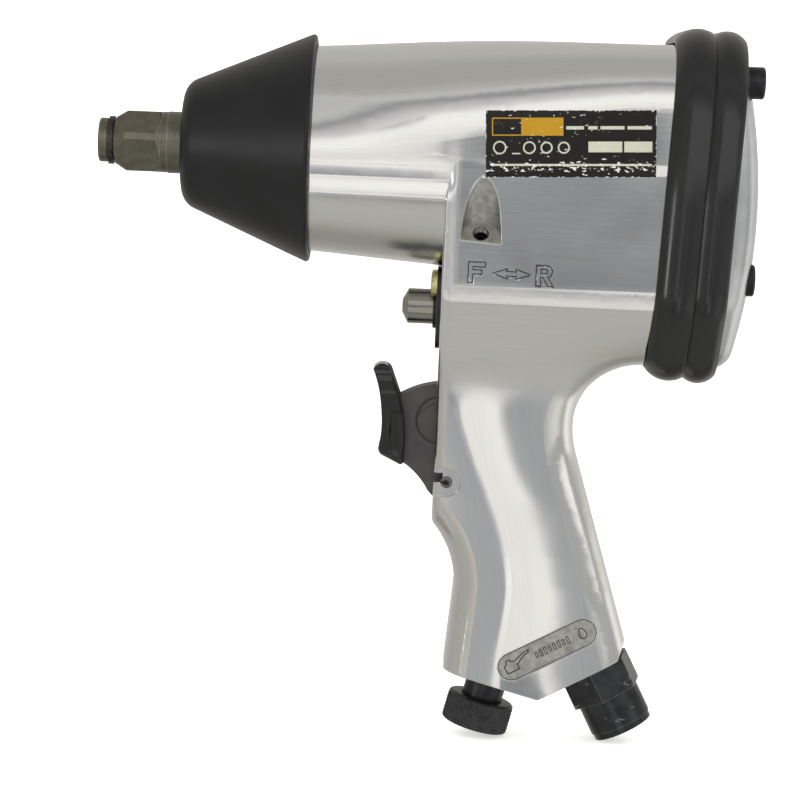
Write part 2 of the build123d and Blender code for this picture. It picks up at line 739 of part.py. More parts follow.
# ------------------------------------------------------------------ rocking-dog clutch
def hammer_cage():
    """Two end plates joined by two webs; turns on the anvil and is driven by the rotor's spline."""
    hub_x = anvil_body_x + pass_gap
    cage = rod(cage_plate_x, cage_end_x, cage_r)
    middle = Pos((dog_x + cage_rear_x) / 2, 0, 0) * Box(cage_rear_x - dog_x, 3 * cage_r, 2 * web_height)
    cage -= middle
    cage += rod(hub_x, cage_plate_x, cage_hub_r)
    cage -= rod(hub_x - 1, dog_x + 1, anvil_body_r + run_gap)
    cage -= rod(cage_rear_x - 1, spline_x, anvil_pilot_r + run_gap)
    for side in (-1, 1):
        cage -= rod(cage_plate_x - 1, cage_end_x + 1, hammer_pin_r, side * hammer_pin_offset)
    return cage - spline(spline_x - 1, cage_end_x + 1, run_gap)


def spline(x0, x1, grow):
    """Straight-sided spline, grown by a clearance for the bore that takes it."""
    tooth = 2 * spline_r * sin(radians(180 / spline_teeth)) * 0.45
    face = Circle(spline_r - spline_depth + grow)
    for place in PolarLocations(0, spline_teeth):
        face += place * Pos(spline_r - spline_depth, 0) * Rectangle(
            2 * (spline_depth + grow), tooth + 2 * grow)
    return extrude(Plane.YZ.offset(x0) * face, x1 - x0)


def hammer_dog():
    """Ring-shaped hammer that rocks about one pin; its inner step strikes the anvil's lobe."""
    swing = 2 * hammer_pin_offset * sin(radians(dog_rock))
    face = Ellipse(dog_half_width, dog_half_height)
    face -= Circle(dog_bore_r)
    face -= sector(dog_relief_r, dog_relief_angle)
    face -= Pos(-hammer_pin_offset, 0) * Circle(hammer_pin_r + run_gap)
    stop_height = 2 * (hammer_pin_r + swing + pass_gap)
    stop = Pos(hammer_pin_offset + 1, 0) * Rectangle(2 * (hammer_pin_r + pass_gap + 1), stop_height)
    face -= fillet(stop.vertices(), hammer_pin_r)
    return extrude(Plane.YZ.offset(dog_x + pass_gap) * face, dog_length)


def hammer_pins():
    return [rod(cage_plate_x, cage_end_x, hammer_pin_r, side * hammer_pin_offset) for side in (-1, 1)]


# ------------------------------------------------------------------ air motor
def rotor():
    body = rod(cylinder_x + slide_gap, rear_plate_x - slide_gap, rotor_r)
    for place in vane_places():
        body -= place * Pos(rotor_r - vane_depth / 2 + 1, 0, 0) * Box(
            vane_depth + 2 + slide_gap, vane_t + 2 * slide_gap, 2 * cylinder_length)
    shoulder_r = bearing_bore_r + 1
    body += rod(front_bearing_x + bearing_w, cylinder_x + 1, shoulder_r)
    body += rod(rear_plate_x - 1, rear_bearing_x, shoulder_r)
    body += rod(front_bearing_x - pass_gap, front_bearing_x + bearing_w + 1, bearing_bore_r)
    body += rod(rear_bearing_x - 1, rear_bearing_x + bearing_w, bearing_bore_r)
    return body + spline(spline_x + pass_gap, front_bearing_x, 0)


def vane_places():
    """Placements that carry local X to each vane's radius and local Z to the drive axis."""
    middle = (cylinder_x + rear_plate_x) / 2
    return [Pos(middle, 0, 0) * Rot(360 / vane_count * i, 0, 0) * Rot(0, -90, 0) for i in range(vane_count)]


def rotor_vanes():
    """Vanes pushed home in their slots, where they stand when the tool is at rest."""
    height = vane_depth - 2 * slide_gap
    return [place * Pos(rotor_r - slide_gap - height / 2, 0, 0) * Box(
        height, vane_t, cylinder_length - 4 * slide_gap) for place in vane_places()]


def motor_cylinder():
    """Liner with its bore set off centre, supply ways along its thick side and exhaust slots."""
    liner = rod(cylinder_x, rear_plate_x, motor_r)
    liner -= rod(cylinder_x - 1, rear_plate_x + 1, cylinder_bore_r, 0, cylinder_offset)
    wall_middle = (motor_r + cylinder_bore_r - cylinder_offset) / 2
    for angle in (250, 290):
        liner -= rod(cylinder_x - 1, rear_plate_x + 1, port_r,
                     wall_middle * cos(radians(angle)), wall_middle * sin(radians(angle)))
    slot_w = 2.4
    for i in range(5):
        x = cylinder_x + cylinder_length * (i + 1) / 6
        liner -= Pos(x, 0, motor_r) * Box(slot_w, cylinder_bore_r, 2 * cylinder_offset + 8)
    return liner - dowel(motor_x, motor_end_x)


def dowel(x0, x1):
    r = (motor_r + cylinder_bore_r) / 2
    return rod(x0, x1, dowel_r, r * cos(radians(dowel_angle)), r * sin(radians(dowel_angle)))


def end_plate(x0, seat_x0, seat_x1, lip_x0, lip_x1):
    """Disc with a bearing seat and a thin lip that the rotor's shoulder passes."""
    plate = rod(x0, x0 + end_plate_t, motor_r)
    plate -= rod(seat_x0, seat_x1, bearing_r)
    plate -= rod(lip_x0 - 1, lip_x1 + 1, bearing_bore_r + 1 + pass_gap)
    return plate - dowel(motor_x, motor_end_x)


def bearing_races(x):
    """Inner and outer race of a deep-groove ball bearing whose front face is at x."""
    groove = Pos(x + bearing_w / 2, 0, 0) * Rot(0, 90, 0) * Torus(bearing_pitch_r, ball_r + race_gap)
    inner = tube(x, x + bearing_w, bearing_bore_r, bearing_pitch_r - race_shoulder) - groove
    outer = tube(x, x + bearing_w, bearing_pitch_r + race_shoulder, bearing_r) - groove
    return inner, outer


def bearing_balls(x):
    return [Rot(360 / ball_count * i, 0, 0) * Pos(x + bearing_w / 2, bearing_pitch_r, 0) * Sphere(ball_r)
            for i in range(ball_count)]


# ------------------------------------------------------------------ rear end
def rear_cover():
    """Domed cover; its spigot reaches in and clamps the motor."""
    cover = extrude(rear_outline(cover_x), cover_end_x - cover_x + 2)
    cover &= Pos(cover_end_x - cover_dome_r, 0, cover_dome_z) * Sphere(cover_dome_r)
    rim = [e for e in cover.edges() if e.center().X > cover_x + 1 and e.position_at(0).X > cover_x + 1
           and e.position_at(1).X > cover_x + 1]
    cover = cover.fillet(cover_edge_r, rim)
    cover += rod(motor_end_x, cover_x + 1, motor_r)
    cover -= rod(motor_end_x - 1, cover_end_x - cover_wall, motor_r - spigot_wall)
    for y, z in bolt_places():
        cover -= rod(cover_x - 1, cover_end_x, screw_r + slide_gap, y, z)
        cover -= rod(screw_seat_x, cover_end_x + 1, screw_head_r + pass_gap, y, z)
    return cover


def rear_gasket():
    gasket = extrude(rear_outline(joint_x), gasket_t) - rod(joint_x - 1, cover_x + 1, motor_r + motor_fit)
    for y, z in bolt_places():
        gasket -= rod(joint_x - 1, cover_x + 1, screw_r + slide_gap, y, z)
    return gasket


def rear_guard():
    """Rubber band with two rounded ribs, leaning forwards, stretched over the joint."""
    outline = rear_outline(0).wire()
    start, along = outline.position_at(0), outline.tangent_at(0)
    outwards = Vector(along).cross(Vector(1, 0, 0))
    if outwards.dot(Vector(*start)) < 0:
        outwards = -outwards
    groove = guard_w * groove_share
    inside = -rib_height / 4
    profile = make_face([
        Line((0, inside), (0, guard_lip)),
        ThreePointArc((0, guard_lip), (groove / 2, rib_height), (groove - groove_half, groove_height)),
        Line((groove - groove_half, groove_height), (groove, groove_height - groove_depth)),
        Line((groove, groove_height - groove_depth), (groove + groove_half, groove_height)),
        ThreePointArc((groove + groove_half, groove_height), ((groove + guard_w) / 2, rib_height),
                      (guard_w, 2 * guard_lip)),
        Line((guard_w, 2 * guard_lip), (guard_w, inside)),
        Line((guard_w, inside), (0, inside)),
    ])
    across = Plane(origin=start, x_dir=(1, 0, 0), z_dir=Vector(1, 0, 0).cross(outwards))
    band = sweep(across * Pos(-guard_w / 2, 0) * profile, outline)
    band = Pos(guard_middle_x, 0, guard_lean_z) * Rot(0, guard_lean, 0) * Pos(0, 0, -guard_lean_z) * band
    return band - extrude(rear_outline(guard_middle_x - guard_w, guard_fit), 2 * guard_w)


def cover_screws():
    screws = []
    for y, z in bolt_places():
        head_x = screw_seat_x + spring_washer_t
        head = rod(head_x, head_x + screw_head_h, screw_head_r, y, z)
        head = chamfer(head.edges().sort_by(Axis.X)[-1], 0.4)
        socket = Pos(head_x + screw_head_h - screw_hex_depth / 2, y, z) * Rot(0, 90, 0) * hexagon(
            screw_hex_af, screw_hex_depth)
        screws.append(head + rod(screw_seat_x - screw_length, head_x + 1, screw_r, y, z) - socket)
    return screws


def cover_spring_washers():
    washers = []
    for y, z in bolt_places():
        ring = tube(screw_seat_x, screw_seat_x + spring_washer_t, screw_r + slide_gap,
                    screw_head_r - washer_inset, y, z)
        split = Pos(screw_seat_x, y, z + screw_r + 1) * Rot(0, 0, 20) * Box(4, 0.5, 3)
        washers.append(ring - split)
    return washers


# ------------------------------------------------------------------ trigger and throttle
def blade_face():
    """Side view of the finger piece: hollow front, rounded top, full lower end."""
    tip_x, tip_z = pin_x - blade_ahead, pin_z + blade_rise
    low_x, low_z = tip_x + blade_rake, tip_z - blade_height
    chin_x, chin_z = low_x + blade_low_t, low_z - blade_low_t / 2
    middle_x, middle_z = (tip_x + low_x) / 2 + blade_hollow, (tip_z + low_z) / 2
    return make_face([
        Spline((tip_x, tip_z), (middle_x, middle_z), (low_x, low_z), tangents=((0.45, -1), (-0.25, -1))),
        ThreePointArc((low_x, low_z), (low_x + 0.3, low_z - 1.4), (low_x + 1.6, low_z - 2.4)),
        Line((low_x + 1.6, low_z - 2.4), (chin_x - 1.1, chin_z - 1.0)),
        ThreePointArc((chin_x - 1.1, chin_z - 1.0), (chin_x - 0.1, chin_z - 0.7), (chin_x, chin_z + 0.7)),
        ThreePointArc((chin_x, chin_z + 0.7), (chin_x + 0.1, middle_z - 5.0),
                      (chin_x - 1.5, middle_z + 3.0)),
        Line((chin_x - 1.5, middle_z + 3.0), (tip_x + blade_top_t, tip_z - 0.2)),
        ThreePointArc((tip_x + blade_top_t, tip_z - 0.2), (tip_x + 0.67 * blade_top_t, tip_z + 1.3),
                      (tip_x, tip_z)),
    ])


def blade_front():
    """Rounded outline of the finger piece seen from the front, made solid."""
    front_view = RectangleRounded(2 * blade_half, blade_height + 9, blade_corner_r)
    middle_z = pin_z + blade_rise - blade_height / 2 - 2.9
    return extrude(Plane.YZ * Pos(0, middle_z) * front_view, 2 * pin_x)


def trigger():
    blade = slab(blade_face(), blade_half)
    side_edges = [e for e in blade.edges() if abs(e.center().Y) > blade_half - 0.01]
    return blade.chamfer(blade_edge, None, side_edges) & blade_front()


def trigger_lever():
    """Web between the finger piece and the pin, with the boss that pushes the throttle stem."""
    arc = radians(trigger_arc_angle)
    top, halfway, front = [(pin_x - trigger_arc_r * sin(turn), pin_z + trigger_arc_r * cos(turn))
                           for turn in (0, arc / 2, arc)]
    chin = (pin_x - blade_ahead + blade_rake + blade_low_t - 0.3, pin_z + blade_rise - blade_height - 4.2)
    hub = (pin_x - trigger_chin[0], pin_z - trigger_chin[1])
    middle = ((chin[0] + hub[0]) / 2 + 0.8, (chin[1] + hub[1]) / 2 + 0.15)
    web = make_face([
        Line((pin_x, pin_z), top),
        ThreePointArc(top, halfway, front),
        Line(front, chin),
        ThreePointArc(chin, middle, hub),
        Line(hub, (pin_x, pin_z)),
    ])
    web += Pos(pin_x, pin_z) * Circle(trigger_hub_r)
    boss = Pos(pin_x - trigger_boss_back, throttle_z) * Circle(trigger_boss_r)
    boss -= Pos(pin_x + trigger_boss_r, throttle_z) * Rectangle(2 * trigger_boss_r, 3 * trigger_boss_r)
    lever = slab(web, trigger_web_half) + slab(boss, trigger_web_half + trigger_boss_h)
    lever -= Pos(pin_x, 0, pin_z) * Rot(90, 0, 0) * Cylinder(pin_r + run_gap, 4 * trigger_web_half)
    return lever - (slab(blade_face(), blade_half) & blade_front())


def trigger_pin():
    length = 2 * (grip_side(pin_x, pin_z) - pin_recess_depth / 2)
    pin = Pos(pin_x, 0, pin_z) * Rot(90, 0, 0) * Cylinder(pin_r, length)
    bore = Pos(pin_x, 0, pin_z) * Rot(90, 0, 0) * Cylinder(pin_r / 2, length + 2)
    split = Pos(pin_x - pin_r, 0, pin_z) * Box(2 * pin_r, length + 2, 0.5)
    return pin - bore - split


def throttle_bushing():
    bush = tube(throttle_bush_x, throttle_seat_x, stem_r + run_gap, throttle_r, 0, throttle_z)
    bush -= rod(throttle_bush_x + stem_guide, throttle_seat_x + 1, throttle_cavity_r, 0, throttle_z)
    port_top = (throttle_port_x, 0, throttle_z + throttle_r + 1)
    bush -= rod_between((throttle_port_x, 0, throttle_z), port_top, port_r)
    return bush - x_ring(throttle_bush_x + throttle_ring_x, throttle_r, oring_fit, throttle_z)


def x_ring(x, outer_r, grow, z):
    """O-ring about a line along X whose outside just reaches outer_r."""
    return Pos(x, 0, z) * Rot(0, 90, 0) * Torus(outer_r - oring_r, oring_r + grow)


def throttle_valve():
    tip_x = pin_x + pass_gap
    head_x = throttle_seat_x + run_gap + valve_seal_t
    stem = turned([(tip_x, 0), (tip_x, stem_r - stem_cone), (tip_x + stem_cone, stem_r),
                   (head_x + 1, stem_r), (head_x + 1, 0)])
    valve = Pos(0, 0, throttle_z) * stem
    valve += rod(head_x, head_x + valve_head_t, valve_head_r, 0, throttle_z)
    return valve


def valve_seal():
    x = throttle_seat_x + run_gap
    return tube(x, x + valve_seal_t, stem_r, valve_head_r, 0, throttle_z)


def valve_spring():
    start = throttle_seat_x + run_gap + valve_seal_t + valve_head_t + spring_wire_r
    end = throttle_end_x - spring_wire_r
    path = Helix((end - start) / spring_turns, end - start, spring_r)
    wire = Plane(origin=path.position_at(0), z_dir=path.tangent_at(0)) * RegularPolygon(spring_wire_r, 8)
    coil = sweep(wire, path)
    return Pos(start, 0, throttle_z) * Rot(0, 90, 0) * coil


# ------------------------------------------------------------------ reverse valve
def reverse_bushing():
    end_x = block_x + reverse_bush_length
    bush = rod(block_x, end_x, reverse_bush_r, 0, reverse_z)
    bush -= rod(block_x - 1, end_x - reverse_end_wall, reverse_r + run_gap, 0, reverse_z)
    reach = reverse_bush_r + 1
    for x in reverse_ports():
        bush -= rod_between((x, 0, reverse_z - reach), (x, 0, reverse_z + reach), port_r)
    return bush


def reverse_ports():
    middle = block_x + reverse_bush_length / 2
    return (middle - reverse_port_pitch, middle, middle + reverse_port_pitch)


def reverse_valve():
    """Push-through spool: coned thumb end, two waists, two ring grooves."""
    end_x = block_x + reverse_bush_length - reverse_end_wall - reverse_travel - pass_gap
    first, middle, last = reverse_ports()
    half = reverse_waist_length / 2
    points = [(reverse_tip_x, 0), (reverse_tip_x, reverse_tip_r),
              (reverse_tip_x + reverse_tip_length, reverse_r)]
    for x in ((first + middle) / 2, (middle + last) / 2):
        points += [(x - half, reverse_r), (x - half, reverse_waist_r), (x + half, reverse_waist_r),
                   (x + half, reverse_r)]
    points += [(end_x, reverse_r), (end_x, 0)]
    spool = Pos(0, 0, reverse_z) * turned(points)
    for x in ring_stations():
        spool -= x_ring(x, reverse_r, oring_fit, reverse_z)
    return spool


def ring_stations():
    front = block_x + reverse_ring_x
    return (front, front + reverse_travel + reverse_waist_length / 2)


def reverse_valve_orings():
    return [x_ring(x, reverse_r, 0, reverse_z) for x in ring_stations()]


def reverse_plate():
    face = Pos(0, reverse_z) * RectangleRounded(plate_width, plate_height, plate_corner_r)
    plate = extrude(Plane.YZ.offset(block_x - plate_t) * face, plate_t)
    plate += rod(block_x - plate_t - plate_collar_t, block_x - plate_t, plate_collar_r, 0, reverse_z)
    plate -= rod(block_x - 5, block_x + 1, reverse_r + slide_gap, 0, reverse_z)
    for side in (-1, 1):
        y = side * plate_screw_y
        plate -= rod(block_x - 5, block_x + 1, plate_screw_r + slide_gap, y, plate_screw_z)
    return plate


def reverse_plate_screws():
    screws = []
    for side in (-1, 1):
        y, head_x = side * plate_screw_y, block_x - plate_t
        head = rod(head_x - plate_screw_head_h, head_x, plate_screw_head_r, y, plate_screw_z)
        head = fillet(head.edges().sort_by(Axis.X)[0], plate_screw_dome)
        cross = Pos(head_x - plate_screw_head_h, y, plate_screw_z)
        head -= cross * Box(2 * cross_depth, cross_width, cross_length)
        head -= cross * Box(2 * cross_depth, cross_length, cross_width)
        end_x = block_x + plate_screw_length - 0.5
        screws.append(head + rod(head_x - 0.5, end_x, plate_screw_r, y, plate_screw_z))
    return screws


# ------------------------------------------------------------------ air inlet
def inlet_bushing():
    end = inlet_hex_length + inlet_barrel_length + inlet_rim_length
    port_end = end - inlet_port_length
    body = stub(inlet_plane, -inlet_thread_length, seal_t + 1, inlet_thread_r)
    hexagonal = hexagon(inlet_hex_af, inlet_hex_length - seal_t)
    body += inlet_plane * Pos(0, 0, (inlet_hex_length + seal_t) / 2) * Rot(0, 0, inlet_hex_turn) * hexagonal
    body += stub(inlet_plane, inlet_hex_length, end - inlet_rim_length, inlet_barrel_r)
    body += stub(inlet_plane, end - inlet_rim_length, end, inlet_rim_r)
    body -= stub(inlet_plane, -inlet_thread_length - 1, end, inlet_bore_r)
    body -= stub(inlet_plane, port_end, end + 1, inlet_port_r)
    return body - stub(inlet_plane, port_end - screen_t, port_end + 1, inlet_bore_r + screen_reach)


def inlet_seal():
    disc = stub(inlet_plane, 0, seal_t, inlet_hex_af / 2 + seal_reach)
    return disc - stub(inlet_plane, -1, seal_t + 1, inlet_thread_r)


def inlet_screen():
    port_end = inlet_hex_length + inlet_barrel_length + inlet_rim_length - inlet_port_length
    disc = stub(inlet_plane, port_end - screen_t, port_end, inlet_bore_r + screen_reach)
    for place in [Pos(0, 0)] + list(PolarLocations(screen_hole_circle, 6)):
        disc -= inlet_plane * place * Pos(0, 0, port_end) * Cylinder(screen_hole_r, 4 * screen_t)
    return disc


# ------------------------------------------------------------------ regulator
def regulator_knob():
    head = stub(regulator_plane, regulator_gap, regulator_gap + regulator_head_length, regulator_head_r)
    head = fillet(head.edges().filter_by(GeomType.CIRCLE), regulator_edge_r)
    return head - stub(regulator_plane, 0, regulator_gap + regulator_head_length / 2, regulator_stem_r)


def regulator_screw():
    stem_end = regulator_gap + regulator_head_length / 2
    stem = stub(regulator_plane, -regulator_depth, stem_end, regulator_stem_r)
    needle = Pos(0, 0, -regulator_depth - regulator_needle_length / 2) * Cone(
        regulator_needle_tip_r, regulator_needle_r, regulator_needle_length)
    stem += regulator_plane * needle
    return stem - regulator_ring(oring_fit)


def regulator_ring(grow):
    ring = Torus(regulator_stem_r - oring_r, oring_r + grow)
    return regulator_plane * Pos(0, 0, regulator_ring_room - regulator_depth) * ring


# ------------------------------------------------------------------ oil plug
def oil_plug():
    plug = port_hole(plug_sunk, plug_sunk + plug_length, plug_r)
    socket = extrude(RegularPolygon(plug_hex_af / 2, 6, major_radius=False), plug_hex_depth)
    middle = port_hole(plug_sunk, plug_sunk + plug_hex_depth, plug_r).center()
    across = Plane(origin=middle, x_dir=(1, 0, 0), z_dir=port_floor().z_dir)
    return plug - across * Pos(0, 0, -plug_hex_depth / 2) * socket


# ------------------------------------------------------------------ more stations
boot_rim_in = barrel_r + barrel_swell * (boot_rim_x - barrel_x) / (block_x - barrel_x) + pass_gap
boot_rim_r = boot_rim_in + boot_rim_wall
boot_slope = (boot_rim_r - boot_front_r) / (boot_rim_x - boot_face_x)
regulator_bore = regulator_depth + regulator_needle_length + regulator_seat_room
spline_x = cage_rear_x + anvil_pilot_length + pass_gap
front_bearing_x = cylinder_x - end_plate_lip - bearing_w
rear_bearing_x = rear_plate_x + end_plate_lip
inlet_plane = sole_plane(inlet_along, foot_rear_slope)
regulator_plane = sole_plane(-regulator_along, foot_front_slope)


def parts():
    front_inner, front_outer = bearing_races(front_bearing_x)
    rear_inner, rear_outer = bearing_races(rear_bearing_x)
    return {
        "housing": bores(casting_outside()),
        "nose_boot": nose_boot(),
        "anvil_bushing": tube(nose_x, chamber_x, journal_r + run_gap, bushing_r),
        "thrust_washer": tube(chamber_x, chamber_x + washer_t, journal_r + run_gap, washer_r),
        "anvil": anvil(),
        "socket_ring": socket_ring(),
        "socket_ring_oring": socket_ring_oring(),
        "hammer_cage": hammer_cage(),
        "hammer_pins": hammer_pins(),
        "hammer_dog": hammer_dog(),
        "rotor": rotor(),
        "rotor_vanes": rotor_vanes(),
        "motor_cylinder": motor_cylinder(),
        "front_end_plate": end_plate(motor_x, motor_x - 1, front_bearing_x + bearing_w, motor_x,
                                     cylinder_x),
        "rear_end_plate": end_plate(rear_plate_x, rear_bearing_x, motor_end_x + 1, rear_plate_x,
                                    rear_bearing_x),
        "cylinder_dowel": dowel(motor_x, motor_end_x),
        "front_bearing_inner_race": front_inner,
        "front_bearing_outer_race": front_outer,
        "front_bearing_balls": bearing_balls(front_bearing_x),
        "rear_bearing_inner_race": rear_inner,
        "rear_bearing_outer_race": rear_outer,
        "rear_bearing_balls": bearing_balls(rear_bearing_x),
        "rear_gasket": rear_gasket(),
        "rear_cover": rear_cover(),
        "rear_guard": rear_guard(),
        "cover_screws": cover_screws(),
        "cover_spring_washers": cover_spring_washers(),
        "trigger": trigger(),
        "trigger_lever": trigger_lever(),
        "trigger_pin": trigger_pin(),
        "throttle_bushing": throttle_bushing(),
        "throttle_bushing_oring": x_ring(throttle_bush_x + throttle_ring_x, throttle_r, 0, throttle_z),
        "throttle_valve": throttle_valve(),
        "valve_seal": valve_seal(),
        "valve_spring": valve_spring(),
        "reverse_bushing": reverse_bushing(),
        "reverse_valve": reverse_valve(),
        "reverse_valve_orings": reverse_valve_orings(),
        "reverse_plate": reverse_plate(),
        "reverse_plate_screws": reverse_plate_screws(),
        "inlet_bushing": inlet_bushing(),
        "inlet_seal": inlet_seal(),
        "inlet_screen": inlet_screen(),
        "regulator_knob": regulator_knob(),
        "regulator_screw": regulator_screw(),
        "regulator_oring": regulator_ring(0),
        "oil_plug": oil_plug(),
    }


for node, shape in parts().items():
    export_step(Compound(children=shape) if isinstance(shape, list) else shape, f"parts/{node}.step")
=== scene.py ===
"""Looks of a half-inch pistol-grip air impact wrench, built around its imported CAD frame.

Metres, +Z up, the square drive points to -X, and -Y is the operator's left, the side with the label.
"""
import json

import bpy
import bmesh
import numpy as np
from mathutils import Matrix, Vector


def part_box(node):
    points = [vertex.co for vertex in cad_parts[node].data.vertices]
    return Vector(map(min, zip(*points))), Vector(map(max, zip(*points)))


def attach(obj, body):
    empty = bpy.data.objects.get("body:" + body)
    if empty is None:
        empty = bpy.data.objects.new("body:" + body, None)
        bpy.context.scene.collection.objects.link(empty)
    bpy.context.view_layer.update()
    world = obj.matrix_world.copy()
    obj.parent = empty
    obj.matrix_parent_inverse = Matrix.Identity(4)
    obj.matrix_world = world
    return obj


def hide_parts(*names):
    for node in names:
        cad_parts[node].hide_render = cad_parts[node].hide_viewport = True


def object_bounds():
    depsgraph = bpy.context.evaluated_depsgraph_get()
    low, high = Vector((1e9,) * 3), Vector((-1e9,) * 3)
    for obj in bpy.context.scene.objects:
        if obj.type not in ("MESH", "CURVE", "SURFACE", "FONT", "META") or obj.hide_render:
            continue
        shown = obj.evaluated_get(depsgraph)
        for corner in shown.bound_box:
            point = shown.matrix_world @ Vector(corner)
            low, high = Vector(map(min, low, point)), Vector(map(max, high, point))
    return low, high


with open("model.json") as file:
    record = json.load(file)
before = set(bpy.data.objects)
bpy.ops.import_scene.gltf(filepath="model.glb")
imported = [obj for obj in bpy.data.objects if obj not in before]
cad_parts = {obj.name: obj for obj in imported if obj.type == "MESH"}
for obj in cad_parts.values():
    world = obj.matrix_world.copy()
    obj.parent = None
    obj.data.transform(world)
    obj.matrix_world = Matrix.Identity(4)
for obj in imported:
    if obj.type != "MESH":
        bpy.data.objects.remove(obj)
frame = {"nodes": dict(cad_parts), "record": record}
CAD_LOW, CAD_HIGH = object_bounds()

bl_info = {
    "name": "Air Impact Wrench Looks",
    "version": (1, 0, 0),
    "blender": (4, 5, 0),
    "location": "3D View > Sidebar > Wrench",
    "description": "Dresses the packed half-inch impact wrench and sets up its studio",
    "category": "Object",
}

MM = 0.001
NODES = frame["nodes"]
RECORD = frame["record"]
BODY_OF = {node: body for body, nodes in RECORD["behaviour"]["bodies"].items() for node in nodes}
TAU = 2 * np.pi

# Places on the casting, in metres.
GRIP_LEAN = 13.0                                # degrees that the grip leans back
CAPSULE_MIDDLE = (127.6 * MM, -132.6 * MM)      # x and z of the shallow recess low on the grip
CAPSULE_LENGTH = 29.2 * MM
CAPSULE_R = 3.85 * MM
CAPSULE_TILT = 28.0                             # degrees
PORT_MIDDLE = (104.4 * MM, -15.0 * MM)          # x and z of the oil port's scoop
PORT_HALF = (6.5 * MM, 11 * MM)                 # half its width and height
FLANK_Y = -31.0 * MM                            # the near flank beside the port
FLANK_SLOPE = 0.055                             # the flank widens by this much per length
FLANK_FRONT, FLANK_FRONT_R = 97.9 * MM, 3.1 * MM        # x where its front edge starts to round, and how far
FLANK_FOOT, FLANK_FOOT_R = -33.4 * MM, 10.2 * MM        # z where its lower edge does
BUFFED = 0.35 * MM                              # how far polishing rounds the casting's edges
BESIDE = 60 * MM                                # where a flat piece stands, from the tool's middle plane


# ------------------------------------------------------------------ colours and nodes
def linear(code):
    """Linear RGB of an sRGB hex colour such as 'B8B4AC'."""
    srgb = np.array([int(code[i:i + 2], 16) for i in (0, 2, 4)]) / 255
    return tuple(np.where(srgb <= 0.04045, srgb / 12.92, ((srgb + 0.055) / 1.055) ** 2.4))


def rgba(code):
    return (*linear(code), 1.0)


def add(tree, kind, inputs=(), output=0, stops=(), **settings):
    """Adds one node with its settings and links, and returns the Field of one of its outputs.

    kind is a node's type, or a step of arithmetic such as 'MAXIMUM'. inputs are values, hex colours
    or the Fields that are linked in, by socket or in the sockets' order; stops are a ramp's
    (position, hex colour).
    """
    if kind.isupper():
        kind, settings["operation"] = "ShaderNodeMath", kind
    node = tree.nodes.new(kind)
    for key, value in settings.items():
        setattr(node, key, value)
    for key, value in inputs.items() if isinstance(inputs, dict) else enumerate(inputs):
        if isinstance(value, Field):
            tree.links.new(value.socket, node.inputs[key])
        else:
            node.inputs[key].default_value = rgba(value) if isinstance(value, str) else value
    if stops:
        elements = node.color_ramp.elements
        elements.remove(elements[-1])
        for number, (position, code) in enumerate(stops):
            mark = elements.new(position) if number else elements[0]
            mark.position, mark.color = position, rgba(code)
    return Field(node, output)


class Field:
    """What a node gives: a number, a colour or a direction that varies over a surface.

    Arithmetic on a number adds the nodes that work it out.
    """

    def __init__(self, node, output):
        self.tree = node.id_data
        self.socket = node.outputs[output] if node.outputs else None

    def axes(self):
        """Its parts along x, y and z."""
        split = add(self.tree, "ShaderNodeSeparateXYZ", {"Vector": self}).socket.node
        return [Field(split, axis) for axis in "XYZ"]

    def __add__(self, other):
        return add(self.tree, "ADD", (self, other))

    def __sub__(self, other):
        return add(self.tree, "SUBTRACT", (self, other))

    def __rsub__(self, other):
        return add(self.tree, "MULTIPLY_ADD", (self, -1.0, other))

    def __mul__(self, other):
        return add(self.tree, "MULTIPLY", (self, other))

    def __truediv__(self, other):
        return add(self.tree, "DIVIDE", (self, other))

    def __abs__(self):
        return add(self.tree, "ABSOLUTE", (self,))

    __radd__, __rmul__ = __add__, __mul__


def largest(first, *others):
    for other in others:
        first = add(first.tree, "MAXIMUM", (first, other))
    return first


def fade(value, start, end, low=0.0, high=1.0, turn="SMOOTHSTEP"):
    """low before start and high past end, with a soft turn between; start may be the larger."""
    ends = {"Value": value, "From Min": start, "From Max": end, "To Min": low, "To Max": high}
    return add(value.tree, "ShaderNodeMapRange", ends, "Result", interpolation_type=turn)


def spread(noise, low, high):
    """low to high as a noise goes through its usable middle."""
    return fade(noise, 0.3, 0.7, low, high, "LINEAR")


def between(value, middle, half):
    """1 at the middle, softly down to 0 at half to either side."""
    return fade(abs(value - middle), half, 0.0)


def length(first, second):
    """Length of the hypotenuse over two sides."""
    return add(first.tree, "SQRT", (first * first + second * second,))


def blend(share, first, second):
    """Goes from the first colour to the second as share goes from 0 to 1."""
    return add(share.tree, "ShaderNodeMix", {"Factor": share, 6: first, 7: second}, 2, data_type="RGBA")


def grain(place, size, stretch=(1, 1, 1), detail=2.0):
    """Noise whose blotches are about size metres wide, longer along an axis with a small stretch."""
    stretched = add(place.tree, "ShaderNodeMapping", {"Vector": place, "Scale": stretch})
    inputs = {"Vector": stretched, "Scale": 0.5 / size, "Detail": detail}
    return add(place.tree, "ShaderNodeTexNoise", inputs, "Fac")


def mottle(place, size, dark, light, ends=(0.35, 0.65), stretch=(1, 1, 1), detail=4.0):
    """Blotches as a noise, and the colour that drifts with it from dark at one end to light at the other."""
    noise = grain(place, size, stretch, detail)
    return noise, add(place.tree, "ShaderNodeValToRGB", {"Fac": noise}, stops=zip(ends, (dark, light)))


def raised(*layers, onto=None):
    """Normals bent by layers of (height, what 1 of it is in metres), each laid on the one before."""
    for height, depth in layers:
        inputs = {"Height": height, "Distance": depth, "Strength": 1.0}
        if onto:
            inputs["Normal"] = onto
        onto = add(height.tree, "ShaderNodeBump", inputs, "Normal")
    return onto


